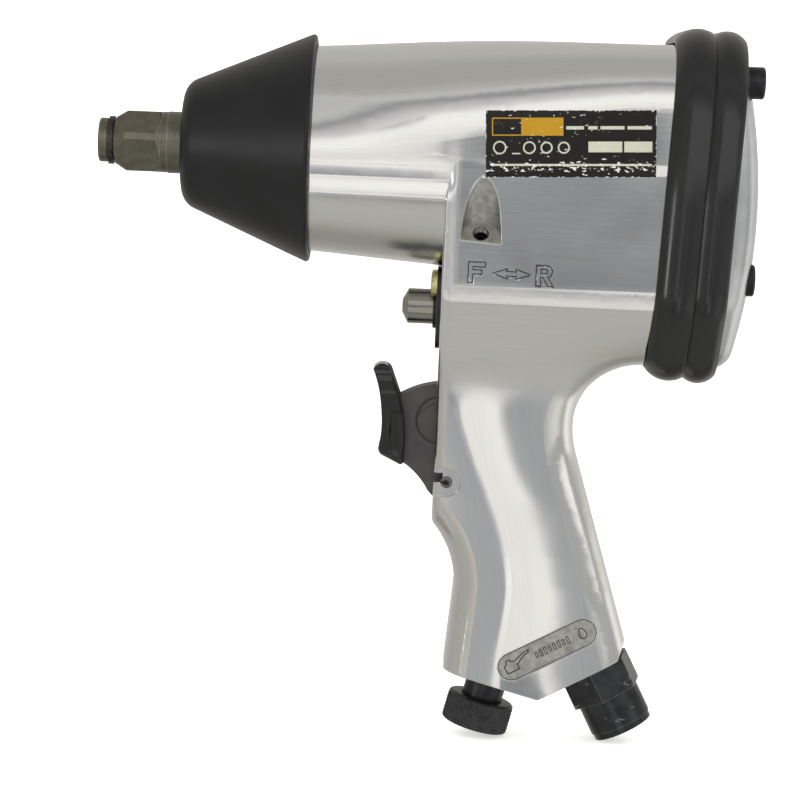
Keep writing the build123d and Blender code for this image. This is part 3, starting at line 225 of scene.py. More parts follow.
def edge_wear(place, radius, rough=0.5 * MM):
    """1 along sharp edges, broken up by fine noise: where a rounded normal parts from the true one."""
    rounded = add(place.tree, "ShaderNodeBevel", {"Radius": radius}, samples=4)
    true = add(place.tree, "ShaderNodeNewGeometry", output="Normal")
    alike = add(place.tree, "ShaderNodeVectorMath", {0: rounded, 1: true}, "Value", operation="DOT_PRODUCT")
    return fade(alike, spread(grain(place, rough, detail=3.0), 0.93, 1.0), 0.86)


def blank(name):
    """New material without nodes, and the object coordinates that its patterns start from."""
    made = bpy.data.materials.new(name)
    made.use_nodes = True
    made.node_tree.nodes.clear()
    return made, add(made.node_tree, "ShaderNodeTexCoord", output="Object")


METALLIC = {"Metallic": 1.0}


def finished(made, colour, roughness, normal, constants):
    """Ends a material in its shader; constants are set on the shader's own sockets."""
    inputs = {"Base Color": colour, "Roughness": roughness, **constants}
    if normal:
        inputs["Normal"] = normal
    shader = add(made.node_tree, "ShaderNodeBsdfPrincipled", inputs)
    add(made.node_tree, "ShaderNodeOutputMaterial", {"Surface": shader})
    return made


# ------------------------------------------------------------------ the polished casting
def polishing_lines(place, z):
    """Hair-fine lines: along X on the barrel and body, along the leaning grip below its neck."""
    fine, drawn_out = 0.24 * MM, 0.02
    turned = add(place.tree, "ShaderNodeMapping", {"Vector": place, "Rotation": (0, np.radians(GRIP_LEAN), 0)})
    return add(place.tree, "ShaderNodeMix", {
        "Factor": fade(z, -52 * MM, -66 * MM), 2: grain(place, fine, (drawn_out, 1, 1), 3.0),
        3: grain(turned, fine, (1, 1, drawn_out), 3.0)})


def flattened(past, radius, reach, soft):
    """Height that cancels a rounded edge: -(r / 2) ln(1 - (d / r)^2), d the distance past its start.

    d stops growing, softly, at reach.
    """
    past = add(past.tree, "SMOOTH_MIN", (add(past.tree, "SMOOTH_MAX", (past, 0.0, 3 * BUFFED)), reach, soft))
    share = past / radius
    return add(past.tree, "LOGARITHM", (1.0 - share * share, float(np.e))) * (-radius / 2)


def hand_ground(x, z):
    """Height in metres of the slow swells that hand polishing leaves; they bend what the polish mirrors.

    Waist of the barrel: -2.7 mm times a soft step upwards and one towards the nose. Its lower half: -0.035 z.
    Along the lower and the front edge of the flank: what keeps it flat nearly to the edge.
    On the grip: slope(z) (112 mm - x), where the slope turns from forward to rearward and back as the
    palm swell goes by, and a fall-off in front of the line brow(z): -0.075 (d + sqrt(d d + w w)),
    with d = brow - x and w = 1.2 mm.
    """
    waist = fade(z, -3 * MM, 14 * MM) * fade(x, 94 * MM, 56 * MM) * (-2.7 * MM)
    lower = add(z.tree, "MINIMUM", (largest(z, -36 * MM), -3 * MM)) * -0.035
    foot = flattened(FLANK_FOOT - z, FLANK_FOOT_R, 4.5 * MM, 1.5 * MM)
    front = flattened(FLANK_FRONT - x, FLANK_FRONT_R, 2.7 * MM, 0.2 * MM)
    front = front * fade(z, -6 * MM, -12 * MM) * fade(z, -60 * MM, -52 * MM)
    back = fade(z, -116 * MM, -140 * MM)
    slope = fade(z, -60 * MM, -103 * MM) * -0.080 + back * 0.035 + 0.054
    brow = fade(z, -60 * MM, -116 * MM) * (18 * MM) + back * (-2 * MM) + 98.5 * MM
    ahead = brow - x
    fall = (ahead + add(x.tree, "SQRT", (ahead * ahead + (1.2 * MM) ** 2,))) * -0.075
    grip = (slope * (112 * MM - x) + fall) * fade(z, -48 * MM, -72 * MM)
    return grip + waist + lower + foot + front


def near_side(y):
    """1 on the near half of the tool, 0 on the far half."""
    return add(y.tree, "LESS_THAN", (y, 0.0))


def inside_capsule(x, y, z, edge):
    """1 on the floor of the capsule recess: nearer to its middle line than its radius less edge."""
    cos, sin = np.cos(np.radians(CAPSULE_TILT)), np.sin(np.radians(CAPSULE_TILT))
    across, up = x - CAPSULE_MIDDLE[0], z - CAPSULE_MIDDLE[1]
    past = largest(abs(across * cos + up * sin) - (CAPSULE_LENGTH / 2 - CAPSULE_R), 0.0)
    floor_r = CAPSULE_R - edge
    inside = fade(length(past, up * cos - across * sin), floor_r, floor_r - 0.1 * MM)
    return inside * near_side(y)


def inside_scoop(x, y, z):
    """1 in the oil port's scoop: within its outline on the near flank, and set in from the flank's face."""
    across, up = x - PORT_MIDDLE[0], z - PORT_MIDDLE[1]
    inside = fade(y - (FLANK_Y - across * FLANK_SLOPE), 0.15 * MM, 0.3 * MM) * near_side(y)
    for away, half in zip((across, up), PORT_HALF):
        inside = inside * fade(abs(away), half, half - 0.2 * MM)
    return inside


def polished_aluminium():
    """Die-cast aluminium, belt polished by hand: mirror-like, with faint polishing lines and slow swells.

    Its edges are buffed round. It is duller in the inner corners that the belt can't reach, and the
    capsule recess and the oil port keep the duller skin of the casting.
    """
    made, place = blank("Polished_cast_aluminium")
    x, y, z = place.axes()
    pocket = largest(inside_capsule(x, y, z, 0.15 * MM), inside_scoop(x, y, z))
    lines = polishing_lines(place, z)
    streak = add(place.tree, "ShaderNodeValToRGB", {"Fac": lines},
                 stops=((0.3, "E4E3E0"), (0.5, "E6E5E2"), (0.75, "E8E7E4")))
    cast_skin = mottle(place, 0.9 * MM, "A5A49E", "C4C3BE", detail=5.0)[1]
    under_barrel = fade(z, -6 * MM, -20 * MM) * fade(x, 97 * MM, 92 * MM)
    flank_foot = between(z, -36.5 * MM, 5 * MM) * fade(x, 95 * MM, 97 * MM)
    flank_brow = between(x, 96.5 * MM, 3 * MM) * fade(z, 8 * MM, -2 * MM)
    neck = between(z, -58 * MM, 10 * MM)
    dull = largest(under_barrel * 0.14, flank_foot * 0.16, flank_brow * 0.12, neck * 0.26)
    cloud = grain(place, 9 * MM, (0.6, 1, 1), 3.0)
    rough = spread(lines, 0.085, 0.10) + spread(cloud, -0.025, 0.035) + dull
    buffed = add(place.tree, "ShaderNodeBevel", {"Radius": BUFFED}, samples=4)
    wave = grain(place, 16 * MM, (0.6, 1, 1), 1.5)
    normal = raised((hand_ground(x, z), 1.0), (wave, 0.12 * MM), (lines, 0.0005 * MM), onto=buffed)
    return finished(made, blend(pocket, streak, cast_skin), largest(rough, pocket * 0.46), normal, METALLIC)


# ------------------------------------------------------------------ the other finishes
def satin_aluminium():
    """Die-cast aluminium, tumbled: an even satin with faint clouding."""
    made, place = blank("Satin_cast_aluminium")
    cloud, colour = mottle(place, 6 * MM, "C5C7C9", "D7D9DB", detail=2.0)
    pebbled = raised((grain(place, 0.5 * MM), 0.006 * MM))
    return finished(made, colour, spread(cloud, 0.24, 0.32), pebbled, METALLIC)


def rubber(name, dark, light, low, high, pore, gloss=0.35, roll=0.0):
    """Moulded black rubber: a fine bloom that lightens it in patches, and a slightly pebbled skin.

    With roll, its upper half leans back as stretched rubber does: a height of -roll times 0.2 z and a
    soft step of 24 mm.
    """
    made, place = blank(name)
    bloom, colour = mottle(place, 7 * MM, dark, light, (0.35, 0.7))
    layers = [(grain(place, pore), 0.012 * MM)]
    if roll:
        z = place.axes()[2]
        layers.insert(0, ((z * 0.2 + fade(z, -10 * MM, 26 * MM) * (24 * MM)) * -roll, 1.0))
    return finished(made, colour, spread(bloom, low, high), raised(*layers),
                    {"IOR": 1.52, "Specular IOR Level": gloss})


def metal(name, dark, light, low, high, size=1.5 * MM, stretch=(1, 1, 1), depth=0.004 * MM, worn=None):
    """Metal whose colour and gloss drift together in blotches; worn is the colour of its rubbed edges."""
    made, place = blank(name)
    blotch, colour = mottle(place, size, dark, light, stretch=stretch)
    if worn:
        colour = blend(edge_wear(place, 0.35 * MM), colour, worn)
    return finished(made, colour, spread(blotch, low, high), raised((blotch, depth)), METALLIC)


def plastic(name, dark, light, low, high, depth):
    """Moulded plastic: nearly even colour, with a faint ripple left by the mould."""
    made, place = blank(name)
    ripple, colour = mottle(place, 3 * MM, dark, light, (0.3, 0.7), detail=2.0)
    return finished(made, colour, spread(ripple, low, high), raised((ripple, depth)), {"IOR": 1.49})


def scuffed_oxide(name, dark, light, scuff):
    """Black-oxide steel that a spanner has slipped on: dark satin with short bright scuffs."""
    made, place = blank(name)
    blotch, skin = mottle(place, 1.5 * MM, dark, light)
    patch = fade(grain(place, 2.2 * MM, (0.5, 1, 1), 5.0), 0.60, 0.70)
    scratch = patch * fade(grain(place, 0.3 * MM, (0.3, 1, 1), 2.0), 0.5, 0.62)
    colour = blend(largest(scratch, edge_wear(place, 0.25 * MM)), skin, scuff)
    return finished(made, colour, spread(blotch, 0.24, 0.32), raised((blotch, 0.004 * MM)), METALLIC)


BLADE_PANEL = ((83.9 * MM, 2.4 * MM), (-76.0 * MM, 6.6 * MM))       # middle and half width along x, then z


def glossy_blade():
    """Black nylon from a polished mould: deep gloss, with a sunk panel in each drafted side and a dull back.

    The draft is a height of 0.45 z; the panel is sunk 0.75 mm with soft walls 1.8 mm wide, and the notch
    above it 0.3 mm.
    """
    made, place = blank("Glossy_moulded_nylon")
    ripple, colour = mottle(place, 3 * MM, "060607", "0B0B0C", (0.3, 0.7), detail=2.0)
    facing = add(place.tree, "ShaderNodeNewGeometry", output="Normal").axes()[0]
    gloss = spread(ripple, 0.08, 0.13) + fade(facing, 0.4, 0.75) * 0.55
    x, _, z = place.axes()
    notch = between(z, -64.5 * MM, 1.0 * MM) * (-0.3 * MM)
    panel = -0.75 * MM
    for axis, (middle, half) in zip((x, z), BLADE_PANEL):
        panel = fade(abs(axis - middle), half, half - 1.8 * MM) * panel
    return finished(made, colour, gloss, raised((z * 0.45 + (panel + notch), 1.0), (ripple, 0.01 * MM)),
                    {"IOR": 1.5, "Specular IOR Level": 0.65})


BOSS_MIDDLE, BOSS_R = (95.8 * MM, -72.46 * MM), 6.4 * MM      # the lever's round boss, x and z


def matte_lever():
    """Black nylon from a spark-eroded mould, greyed by handling: matt, with a thin near-black ring round the
    edge of its raised boss.
    """
    made, place = blank("Matte_moulded_nylon")
    ripple, skin = mottle(place, 3 * MM, "3A3738", "474344", (0.3, 0.7))
    x, _, z = place.axes()
    # a thin near-black ring round the edge of the raised boss
    boss_ring = between(length(x - BOSS_MIDDLE[0], z - BOSS_MIDDLE[1]), BOSS_R, 0.55 * MM)
    return finished(made, blend(boss_ring, skin, "121111"), spread(ripple, 0.40, 0.52), raised((ripple, 0.03 * MM)),
                    {"IOR": 1.49})


def make_materials():
    """Every finish of the wrench, by record slot."""
    return {
        "cast_alloy": polished_aluminium(),
        "cover_alloy": satin_aluminium(),
        "boot_rubber": rubber("Matte_nitrile_rubber", "09090B", "0F0F12", 0.34, 0.42, 0.5 * MM, 0.4),
        "guard_rubber": rubber("Satin_nitrile_rubber", "070708", "0C0C0E", 0.18, 0.25, 0.5 * MM, 0.6, 0.15),
        "seal_rubber": rubber("Seal_nitrile_rubber", "0A0A0A", "121212", 0.4, 0.5, 0.3 * MM),
        "drive_steel": metal("Phosphated_steel", "6F6B5F", "7E7A6D", 0.30, 0.38, 1.2 * MM, worn="B5B1A4"),
        "ring_steel": metal("Blued_spring_steel", "3A3733", "5A554E", 0.3, 0.42, 0.5 * MM),
        "bearing_bronze": metal("Sintered_bronze", "8A6238", "B0824E", 0.35, 0.5, 0.4 * MM),
        "hardened_steel": metal("Ground_hardened_steel", "77787A", "9A9A9B", 0.22, 0.32, 1 * MM, (0.1, 1, 1)),
        "race_steel": metal("Lapped_bearing_steel", "A9AAAC", "C3C4C6", 0.1, 0.16),
        "motor_iron": metal("Honed_cast_iron", "4F5052", "6B6C6E", 0.4, 0.55, 0.8 * MM),
        "vane_composite": plastic("Phenolic_laminate", "4A2E18", "6B4526", 0.45, 0.55, 0.02 * MM),
        "gasket_fibre": plastic("Pressed_gasket_fibre", "2E332E", "3C423C", 0.7, 0.8, 0.03 * MM),
        "black_oxide": metal("Black_oxide_steel", "343436", "454547", 0.3, 0.4, 1.2 * MM, worn="6E6E70"),
        "trigger_plastic": glossy_blade(),
        "lever_plastic": matte_lever(),
        "pin_steel": metal("Rolled_spring_steel", "5E5D5B", "868482", 0.25, 0.35, 0.6 * MM),
        "valve_brass": metal("Turned_brass", "A47E36", "C39C50", 0.25, 0.35),
        "valve_steel": metal("Turned_steel", "8E8A83", "A09C95", 0.16, 0.24, 0.3 * MM, (0.03, 1, 1),
                             0.002 * MM),
        "screw_zinc": metal("Yellow_zinc_steel", "D0CA8C", "E2DCA4", 0.28, 0.36, 1.0 * MM),
        "spring_wire": metal("Drawn_spring_wire", "8A8A8A", "A5A5A5", 0.3, 0.4),
        "knob_black": metal("Knurled_black_oxide_steel", "434344", "525253", 0.32, 0.42, 1.0 * MM),
        "inlet_steel": scuffed_oxide("Scuffed_black_oxide_steel", "3C3D3E", "48494B", "A09E9B"),
    }


# ------------------------------------------------------------------ mesh helpers
def settled(piece):
    """Applies the piece's modifiers to its mesh."""
    shaped = piece.evaluated_get(bpy.context.evaluated_depsgraph_get())
    mesh = bpy.data.meshes.new_from_object(shaped)
    piece.modifiers.clear()
    piece.data = mesh
    return mesh


def laid_on(piece, node, far_side, lift, thickness):
    """Lays a flat piece, standing beside the tool, straight along Y onto a CAD node, then thickens it.

    With far_side it is dropped on the far flank, which has no port, and mirrored to the near one.
    """
    wrap = piece.modifiers.new("Laid along Y", "SHRINKWRAP")
    wrap.target = NODES[node]
    wrap.wrap_method = "PROJECT"
    wrap.use_project_y = True
    wrap.use_negative_direction = far_side
    wrap.use_positive_direction = not far_side
    mesh = settled(piece)
    points = np.empty(len(mesh.vertices) * 3, np.float32)
    mesh.vertices.foreach_get("co", points)
    points = points.reshape(-1, 3)
    points[:, 1] = -np.abs(points[:, 1]) - lift
    mesh.vertices.foreach_set("co", points.ravel())
    mesh.update()
    shell = piece.modifiers.new("Thickness", "SOLIDIFY")
    shell.thickness = thickness
    shell.offset = 1.0
    return piece


def ribbon(corners, width, wraps=True, steps=6):
    """Flat stroke of constant width along a path of straight runs, in the (x, z) plane.

    Each run is cut into steps; each point is moved half a width along the mitre, which is the mean
    of its neighbours' normals divided by the cosine of half the turn.
    """
    corners = np.asarray(corners, float)
    ends = np.roll(corners, -1, axis=0) if wraps else corners[1:]
    starts = corners if wraps else corners[:-1]
    share = np.linspace(0, 1, steps, endpoint=False)[None, :, None]
    path = (starts[:, None] * (1 - share) + ends[:, None] * share).reshape(-1, 2)
    path = np.vstack([path, corners[:1] if wraps else corners[-1:]])
    runs = np.diff(path, axis=0)
    before = np.vstack([runs[-1:] if wraps else runs[:1], runs])
    after = np.vstack([runs, runs[:1] if wraps else runs[-1:]])
    normals = [np.stack([-run[:, 1], run[:, 0]], -1) / np.linalg.norm(run, axis=1, keepdims=True)
               for run in (before, after)]
    mean = normals[0] + normals[1]
    mitre = mean / np.maximum((mean * normals[1]).sum(1, keepdims=True), 0.6)
    return path[:, None] + mitre[:, None] * np.array([-0.5, 0.5])[None, :, None] * width


def stroke(name, corners, width, material, far_side=True, lift=0.01 * MM, wraps=True, thickness=0.05 * MM):
    """One ribbon laid on the casting."""
    flat = ribbon(corners, width, wraps)
    side = BESIDE if far_side else -BESIDE
    grid = np.stack([flat[..., 0], np.full(flat.shape[:2], side), flat[..., 1]], -1)
    piece = grid_piece(name, grid[:, ::-1], wrap_rows=wraps)
    piece = laid_on(piece, "housing", far_side, lift, thickness)
    dress(piece, material)
    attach(piece, BODY_OF["housing"])
    return piece


def face_outwards(mesh):
    """Recalculates the normals of a closed mesh."""
    work = bmesh.new()
    work.from_mesh(mesh)
    bmesh.ops.recalc_face_normals(work, faces=work.faces)
    work.to_mesh(mesh)
    work.free()


def dress(piece, material):
    piece.data.materials.clear()
    piece.data.materials.append(material)


# ------------------------------------------------------------------ settings
class WrenchSizes(bpy.types.PropertyGroup):
    """Sizes that a user would change."""
    floor_radius: bpy.props.FloatProperty(
        name="Floor radius", description="Radius of the flat part of the studio floor",
        default=1.6, unit="LENGTH")
    sweep_radius: bpy.props.FloatProperty(
        name="Sweep radius", description="Radius of the curve between floor and wall",
        default=0.7, unit="LENGTH")
    wall_height: bpy.props.FloatProperty(
        name="Wall height", description="Height of the studio wall above its curve",
        default=2.0, unit="LENGTH")
    camera_distance: bpy.props.FloatProperty(
        name="Camera distance", description="From the point the camera aims at",
        default=0.7964, unit="LENGTH")
    floor_glow: bpy.props.FloatProperty(
        name="Floor glow", description="Light that the studio floor gives by itself",
        default=0.5, min=0.0)
    knurls: bpy.props.IntProperty(
        name="Knurls", description="Diamonds round the regulator knob",
        default=50, min=12)
    knurl_depth: bpy.props.FloatProperty(
        name="Knurl depth", description="Depth of the grooves in the regulator knob",
        default=0.35 * MM, unit="LENGTH", precision=5)


class WrenchColours(bpy.types.PropertyGroup):
    """Colours that a user would change."""
    floor: bpy.props.FloatVectorProperty(
        name="Floor", description="Colour of the studio floor", subtype="COLOR", size=3,
        default=linear("F6F6F5"))
    label: bpy.props.FloatVectorProperty(
        name="Label", description="Ground colour of the printed label", subtype="COLOR", size=3,
        default=linear("151412"))
    label_bar: bpy.props.FloatVectorProperty(
        name="Label bar", description="Colour of the label's bar and frame", subtype="COLOR", size=3,
        default=linear("A27B12"))
    label_field: bpy.props.FloatVectorProperty(
        name="Label fields", description="Colour of the label's empty fields and rules", subtype="COLOR",
        size=3, default=linear("AEB0A0"))


class WRENCH_OT_stage(bpy.types.Operator):
    """Pale floor and wall, light tent, nose lamp and the camera"""
    bl_idname = "wrench.stage"
    bl_label = "Stage"

    def execute(self, context):
        backdrop(context.scene.wrench_sizes, context.scene.wrench_colours)
        surroundings(context.scene)
        nose_strip(context.scene)
        camera(context.scene, context.scene.wrench_sizes)
        return {"FINISHED"}


def backdrop(sizes, colours):
    """Floor disc that turns up into a round wall: a profile turned about the vertical.

    The profile is flat out to the floor radius, a quarter circle of the sweep radius, then upright.
    """
    turns = np.linspace(0, TAU, 97)
    bend = np.linspace(0, np.pi / 2, 17)
    radii = np.concatenate([[0.0, 0.3, 0.8], sizes.floor_radius + sizes.sweep_radius * np.sin(bend),
                            [sizes.floor_radius + sizes.sweep_radius]])
    heights = np.concatenate([[0, 0, 0], sizes.sweep_radius * (1 - np.cos(bend)),
                              [sizes.sweep_radius + sizes.wall_height]])
    centre = (CAD_LOW + CAD_HIGH) / 2
    grid = np.stack([
        centre.x + np.outer(np.cos(turns), radii),
        centre.y + np.outer(np.sin(turns), radii),
        np.broadcast_to(CAD_LOW.z + heights, (len(turns), len(radii)))], axis=-1)
    piece = grid_piece("studio_floor", grid, wrap_rows=True)
    made, place = blank("Matte_studio_paper")
    tone = (*colours.floor, 1.0)
    dress(piece, finished(made, tone, 0.9, raised((grain(place, 2 * MM), 0.02 * MM)),
                          {"Emission Color": tone, "Emission Strength": sizes.floor_glow}))
    piece.visible_glossy = False
    piece.visible_shadow = False


def grid_piece(name, grid, wrap_rows=False, wrap_columns=False):
    """Mesh from a rows x columns x 3 grid of points, with quads between neighbours.

    A wrapped direction has its last line of points equal to its first, and is joined there.
    """
    rows, columns = grid.shape[:2]
    number = np.arange(rows * columns).reshape(rows, columns)
    if wrap_rows:
        number[-1] = number[0]
    if wrap_columns:
        number[:, -1] = number[:, 0]
    quads = np.stack([number[:-1, :-1], number[1:, :-1], number[1:, 1:], number[:-1, 1:]], -1).reshape(-1, 4)
    mesh = bpy.data.meshes.new(name)
    mesh.from_pydata(grid.reshape(-1, 3), [], quads.tolist())
    work = bmesh.new()
    work.from_mesh(mesh)
    bmesh.ops.remove_doubles(work, verts=work.verts, dist=0.0005 * MM)
    loose = [v for v in work.verts if not v.link_faces]
    bmesh.ops.delete(work, geom=loose, context="VERTS")
    work.to_mesh(mesh)
    work.free()
    mesh.shade_smooth()
    piece = bpy.data.objects.new(name, mesh)
    bpy.context.scene.collection.objects.link(piece)
    return piece


# Tones that the polish shows for light met over the top of the tool, in degrees up from the front horizon.
OVERHEAD = (
    (-180, "B2B1AE"), (-136, "9A9794"), (-118, "8B8784"), (-102, "898781"), (-93, "999792"), (-83, "A6A59F"),
    (-75, "A8A8A5"), (-67, "AAAAA7"), (-59, "ABABA8"), (-51, "A4A4A2"), (-46, "868785"), (-39, "9FA09E"),
    (-34, "A6A7A6"), (-27, "8A8B8F"), (-21, "97989C"), (-15, "B6B5B8"), (-11, "F4F2F0"), (-7, "E6E4E2"),
    (-2, "DFDDDC"), (6, "E3E1E0"), (15, "E9E7E6"), (21, "F0EFEE"), (29, "ECEBEA"), (36, "C9C8C8"),
    (43, "B2B1B2"), (50, "88898C"), (56, "BCBCBB"), (64, "A9A9A7"), (74, "9F9F9C"), (98, "A09F9C"),
    (118, "AEACA8"), (180, "B2B1AE"),
)
# Tones met round the horizon, in degrees from straight in front, positive to the right.
AROUND = (
    (-180, "B2B1AE"), (-110, "9E9D9A"), (-60, "A2A39C"), (-45, "AEABA6"), (-34, "B8B6B2"), (-28, "A0A2A4"),
    (-20, "999DA1"), (-8.0, "D2D2D0"), (-6.4, "E4E3E0"), (-1, "E2E1DE"), (2.5, "EAE8E5"), (4.4, "ECEAE6"),
    (6.4, "9FA1A4"), (12, "989A9D"), (20, "A3A5A6"), (30, "B6B7B7"), (45, "C8C7C3"), (62, "D0CEC9"),
    (85, "A5A39F"), (105, "EAE9E7"), (135, "C4C2BF"), (180, "B2B1AE"),
)
SHADED = "A0A1A1"       # tone met to the right at the tool's own height, where the room is dark
# Tones met straight in front, in degrees up from the horizon: the dull patch that the flat flank shows.
AHEAD = ((-5.0, "8E9194"), (-1.5, "7B7F84"), (1.2, "74787D"), (2.6, "888B8F"), (4.5, "A0A2A5"), (8.0, "BDBDBC"))
POLISH = "E6E5E2"       # the metal's own colour, which the lamps make up for


def surroundings(scene):
    """Light tent seen in the polish, with one ramp of tones for each way of going round the tool."""
    world = bpy.data.worlds.new("Light_tent")
    scene.world = world
    world.use_nodes = True
    tree = world.node_tree
    tree.nodes.clear()
    x, y, z = add(tree, "ShaderNodeTexCoord", output="Generated").axes()
    front, degrees = y * -1.0, 180 / np.pi
    over = add(tree, "ARCTAN2", (z, front)) * degrees
    around = add(tree, "ARCTAN2", (x, front)) * degrees
    rise = add(tree, "ARCSINE", (z,)) * degrees

    def tones(angle, table):
        """The table's tones, spread from its first angle to its last."""
        low, high = table[0][0], table[-1][0]
        stops = [((turn - low) / (high - low), code) for turn, code in table]
        return add(tree, "ShaderNodeValToRGB", {"Fac": fade(angle, low, high, turn="LINEAR")}, stops=stops)

    def window(angle, low, high, soft):
        """1 between two angles, with soft ends."""
        return fade(angle, low - soft, low + soft) * fade(angle, high + soft, high - soft)

    # Windows to the right and to the left, the dark part of the room, and the dull patch straight ahead.
    right = window(rise, -44.0, 8.0, 4.0) * fade(around, -8.3, -7.9)
    left = window(rise, -34.0, 30.0, 3.0) * fade(around, -19.0, -21.0)
    shaded = window(rise, -2.6, 7.0, 0.8) * window(around, 11.0, 86.0, 3.0)
    ahead = window(rise, -5.0, 8.0, 0.3) * window(around, -8.0, 3.0, 0.5)
    light = blend(largest(right, left), tones(over, OVERHEAD), blend(shaded, tones(around, AROUND), SHADED))
    light = blend(ahead, light, tones(rise, AHEAD))
    lamp = add(tree, "ShaderNodeBackground", {"Color": light, "Strength": 1 / float(linear(POLISH)[1])})
    add(tree, "ShaderNodeOutputWorld", {"Surface": lamp})


STRIP_OFFSET = Vector((-0.832, -0.630, 0.0))    # from above the tool's middle, at the drive's height
STRIP_SIZE = (0.05, 0.3)
STRIP_POWER = 0.6                               # watts


def nose_strip(scene):
    """A slim lamp that gives the nose its soft window; the light tent gives the rest."""
    data = bpy.data.lights.new("Nose_strip", "AREA")
    data.shape = "RECTANGLE"
    data.size, data.size_y = STRIP_SIZE
    data.energy = STRIP_POWER
    lamp = bpy.data.objects.new("Nose_strip", data)
    lamp.location = Vector(((CAD_LOW.x + CAD_HIGH.x) / 2, 0, 0)) + STRIP_OFFSET
    lamp.rotation_euler = STRIP_OFFSET.to_track_quat("Z", "Y").to_euler()
    scene.collection.objects.link(lamp)


CAMERA_AZIMUTH = 0.7      # degrees
CAMERA_ELEVATION = 6.0
CAMERA_ROLL = 2.4
CAMERA_LENS = 130.5       # millimetres on a 36 mm wide sensor
CAMERA_AIM = Vector((-4.8, 0.0, -6.0)) * MM     # from the middle of the tool's box


def camera(scene, sizes):
    """Long lens, a little above the tool, tilted slightly about its own axis."""
    azimuth, elevation, roll = (np.radians(a) for a in (CAMERA_AZIMUTH, CAMERA_ELEVATION, CAMERA_ROLL))
    ahead = Vector((-np.sin(azimuth) * np.cos(elevation), np.cos(azimuth) * np.cos(elevation),
                    -np.sin(elevation)))
    level = Vector((np.cos(azimuth), np.sin(azimuth), 0))
    above = level.cross(ahead)
    right = level * np.cos(roll) + above * np.sin(roll)
    up = above * np.cos(roll) - level * np.sin(roll)
    centre = (CAD_LOW + CAD_HIGH) / 2
    centre.y = 0
    data = bpy.data.cameras.new("Studio_camera")
    data.lens = CAMERA_LENS
    data.sensor_width = 36.0
    data.clip_start = 0.01
    seer = bpy.data.objects.new("Studio_camera", data)
    turn = Matrix((right, up, -ahead)).transposed()
    seer.matrix_world = Matrix.Translation(centre + CAMERA_AIM - ahead * sizes.camera_distance) @ turn.to_4x4()
    scene.collection.objects.link(seer)
    scene.camera = seer
    scene.view_settings.view_transform = "Standard"


class WRENCH_OT_finishes(bpy.types.Operator):
    """Gives every CAD piece the finish of its material slot"""
    bl_idname = "wrench.finishes"
    bl_label = "Finishes"

    def execute(self, context):
        for part in RECORD["subparts"]:
            dress(NODES[part["node"]], MATERIALS[part["material_slot"]])
        return {"FINISHED"}


# ------------------------------------------------------------------ label
LABEL_MIDDLE = (126.8 * MM, 4.6 * MM)       # x and z of its middle
LABEL_SIZE = (44.4 * MM, 17.4 * MM)
LABEL_TILT = 2.4                            # degrees, upwards to the rear
LABEL_THICKNESS = 0.1 * MM
# Print on the label, as shares of its width from the front edge and of its height from the lower edge.
LABEL_FRAME = (0.036, 0.455, 0.622, 0.892)
LABEL_BAR = (0.208, 0.447, 0.640, 0.874)
LABEL_RULES = ((0.472, 0.575, 0.715, 0.765), (0.600, 0.655, 0.715, 0.765), (0.672, 0.812, 0.715, 0.765),
               (0.830, 0.972, 0.715, 0.765), (0.155, 0.203, 0.345, 0.365), (0.030, 0.975, 0.170, 0.200))
LABEL_FIELDS = ((0.602, 0.800, 0.375, 0.535), (0.812, 0.976, 0.375, 0.535))
LABEL_SHOULDER = (0.08, 0.24)               # where it bends, and is rubbed most
LABEL_RINGS = ((0.082, 0.443, 0.040), (0.256, 0.443, 0.038), (0.357, 0.443, 0.036), (0.458, 0.443, 0.036))


def printed_label(colours):
    """Printed film: a glossy dark ground with an amber frame and bar, empty pale fields, plain rules and rings.

    It is rubbed off in flecks along its edges and where it bends over the shoulder of the casting.
    """
    made, place = blank("Printed_polyester_film")
    across, _, up = add(place.tree, "ShaderNodeMapping", {
        "Vector": place, "Location": (LABEL_MIDDLE[0], 0, LABEL_MIDDLE[1]),
        "Rotation": (0, -np.radians(LABEL_TILT), 0)}, vector_type="TEXTURE").axes()
    width, height = LABEL_SIZE
    soft, line, ring_line = 0.06 * MM, 0.3 * MM, 0.4 * MM

    def side(position, size, start, end):
        """1 between two shares of a size."""
        half = (end - start) / 2 * size
        return fade(abs(position - ((start + end) / 2 - 0.5) * size), half + soft, half - soft)

    def rectangle(left, right, low, high):
        return side(across, width, left, right) * side(up, height, low, high)

    def ring(middle, rise, radius):
        distance = length(across - (middle - 0.5) * width, up - (rise - 0.5) * height)
        off_line = abs(distance - (radius - 0.005) * width)
        return fade(off_line, ring_line / 2 + soft, ring_line / 2 - soft)

    left, right, low, high = LABEL_FRAME
    hole = rectangle(left + line / width, LABEL_BAR[0], low + line / height, high - line / height)
    amber = add(place.tree, "SUBTRACT", (rectangle(*LABEL_FRAME), hole), use_clamp=True)
    pale = largest(*[rectangle(*spot) for spot in LABEL_RULES + LABEL_FIELDS],
                   *[ring(*spot) for spot in LABEL_RINGS])
    ground, bar, field = ((*getattr(colours, name), 1.0) for name in ("label", "label_bar", "label_field"))
    to_edge = add(place.tree, "MINIMUM", (width / 2 - abs(across), height / 2 - abs(up)))
    rubbing = largest(fade(to_edge, 0.3 * MM, 0.0), rectangle(0.0, 1.0, *LABEL_SHOULDER) * 0.6)
    worn = fade(rubbing * 0.17 + grain(place, 0.35 * MM, (0.6, 1, 1), 5.0), 0.66, 0.71)
    colour = blend(worn, blend(pale, blend(amber, ground, bar), field), "C9C8C4")
    return finished(made, colour, worn * 0.15 + 0.28, raised((worn, -0.02 * MM)),
                    {"IOR": 1.5, "Specular IOR Level": 0.25})


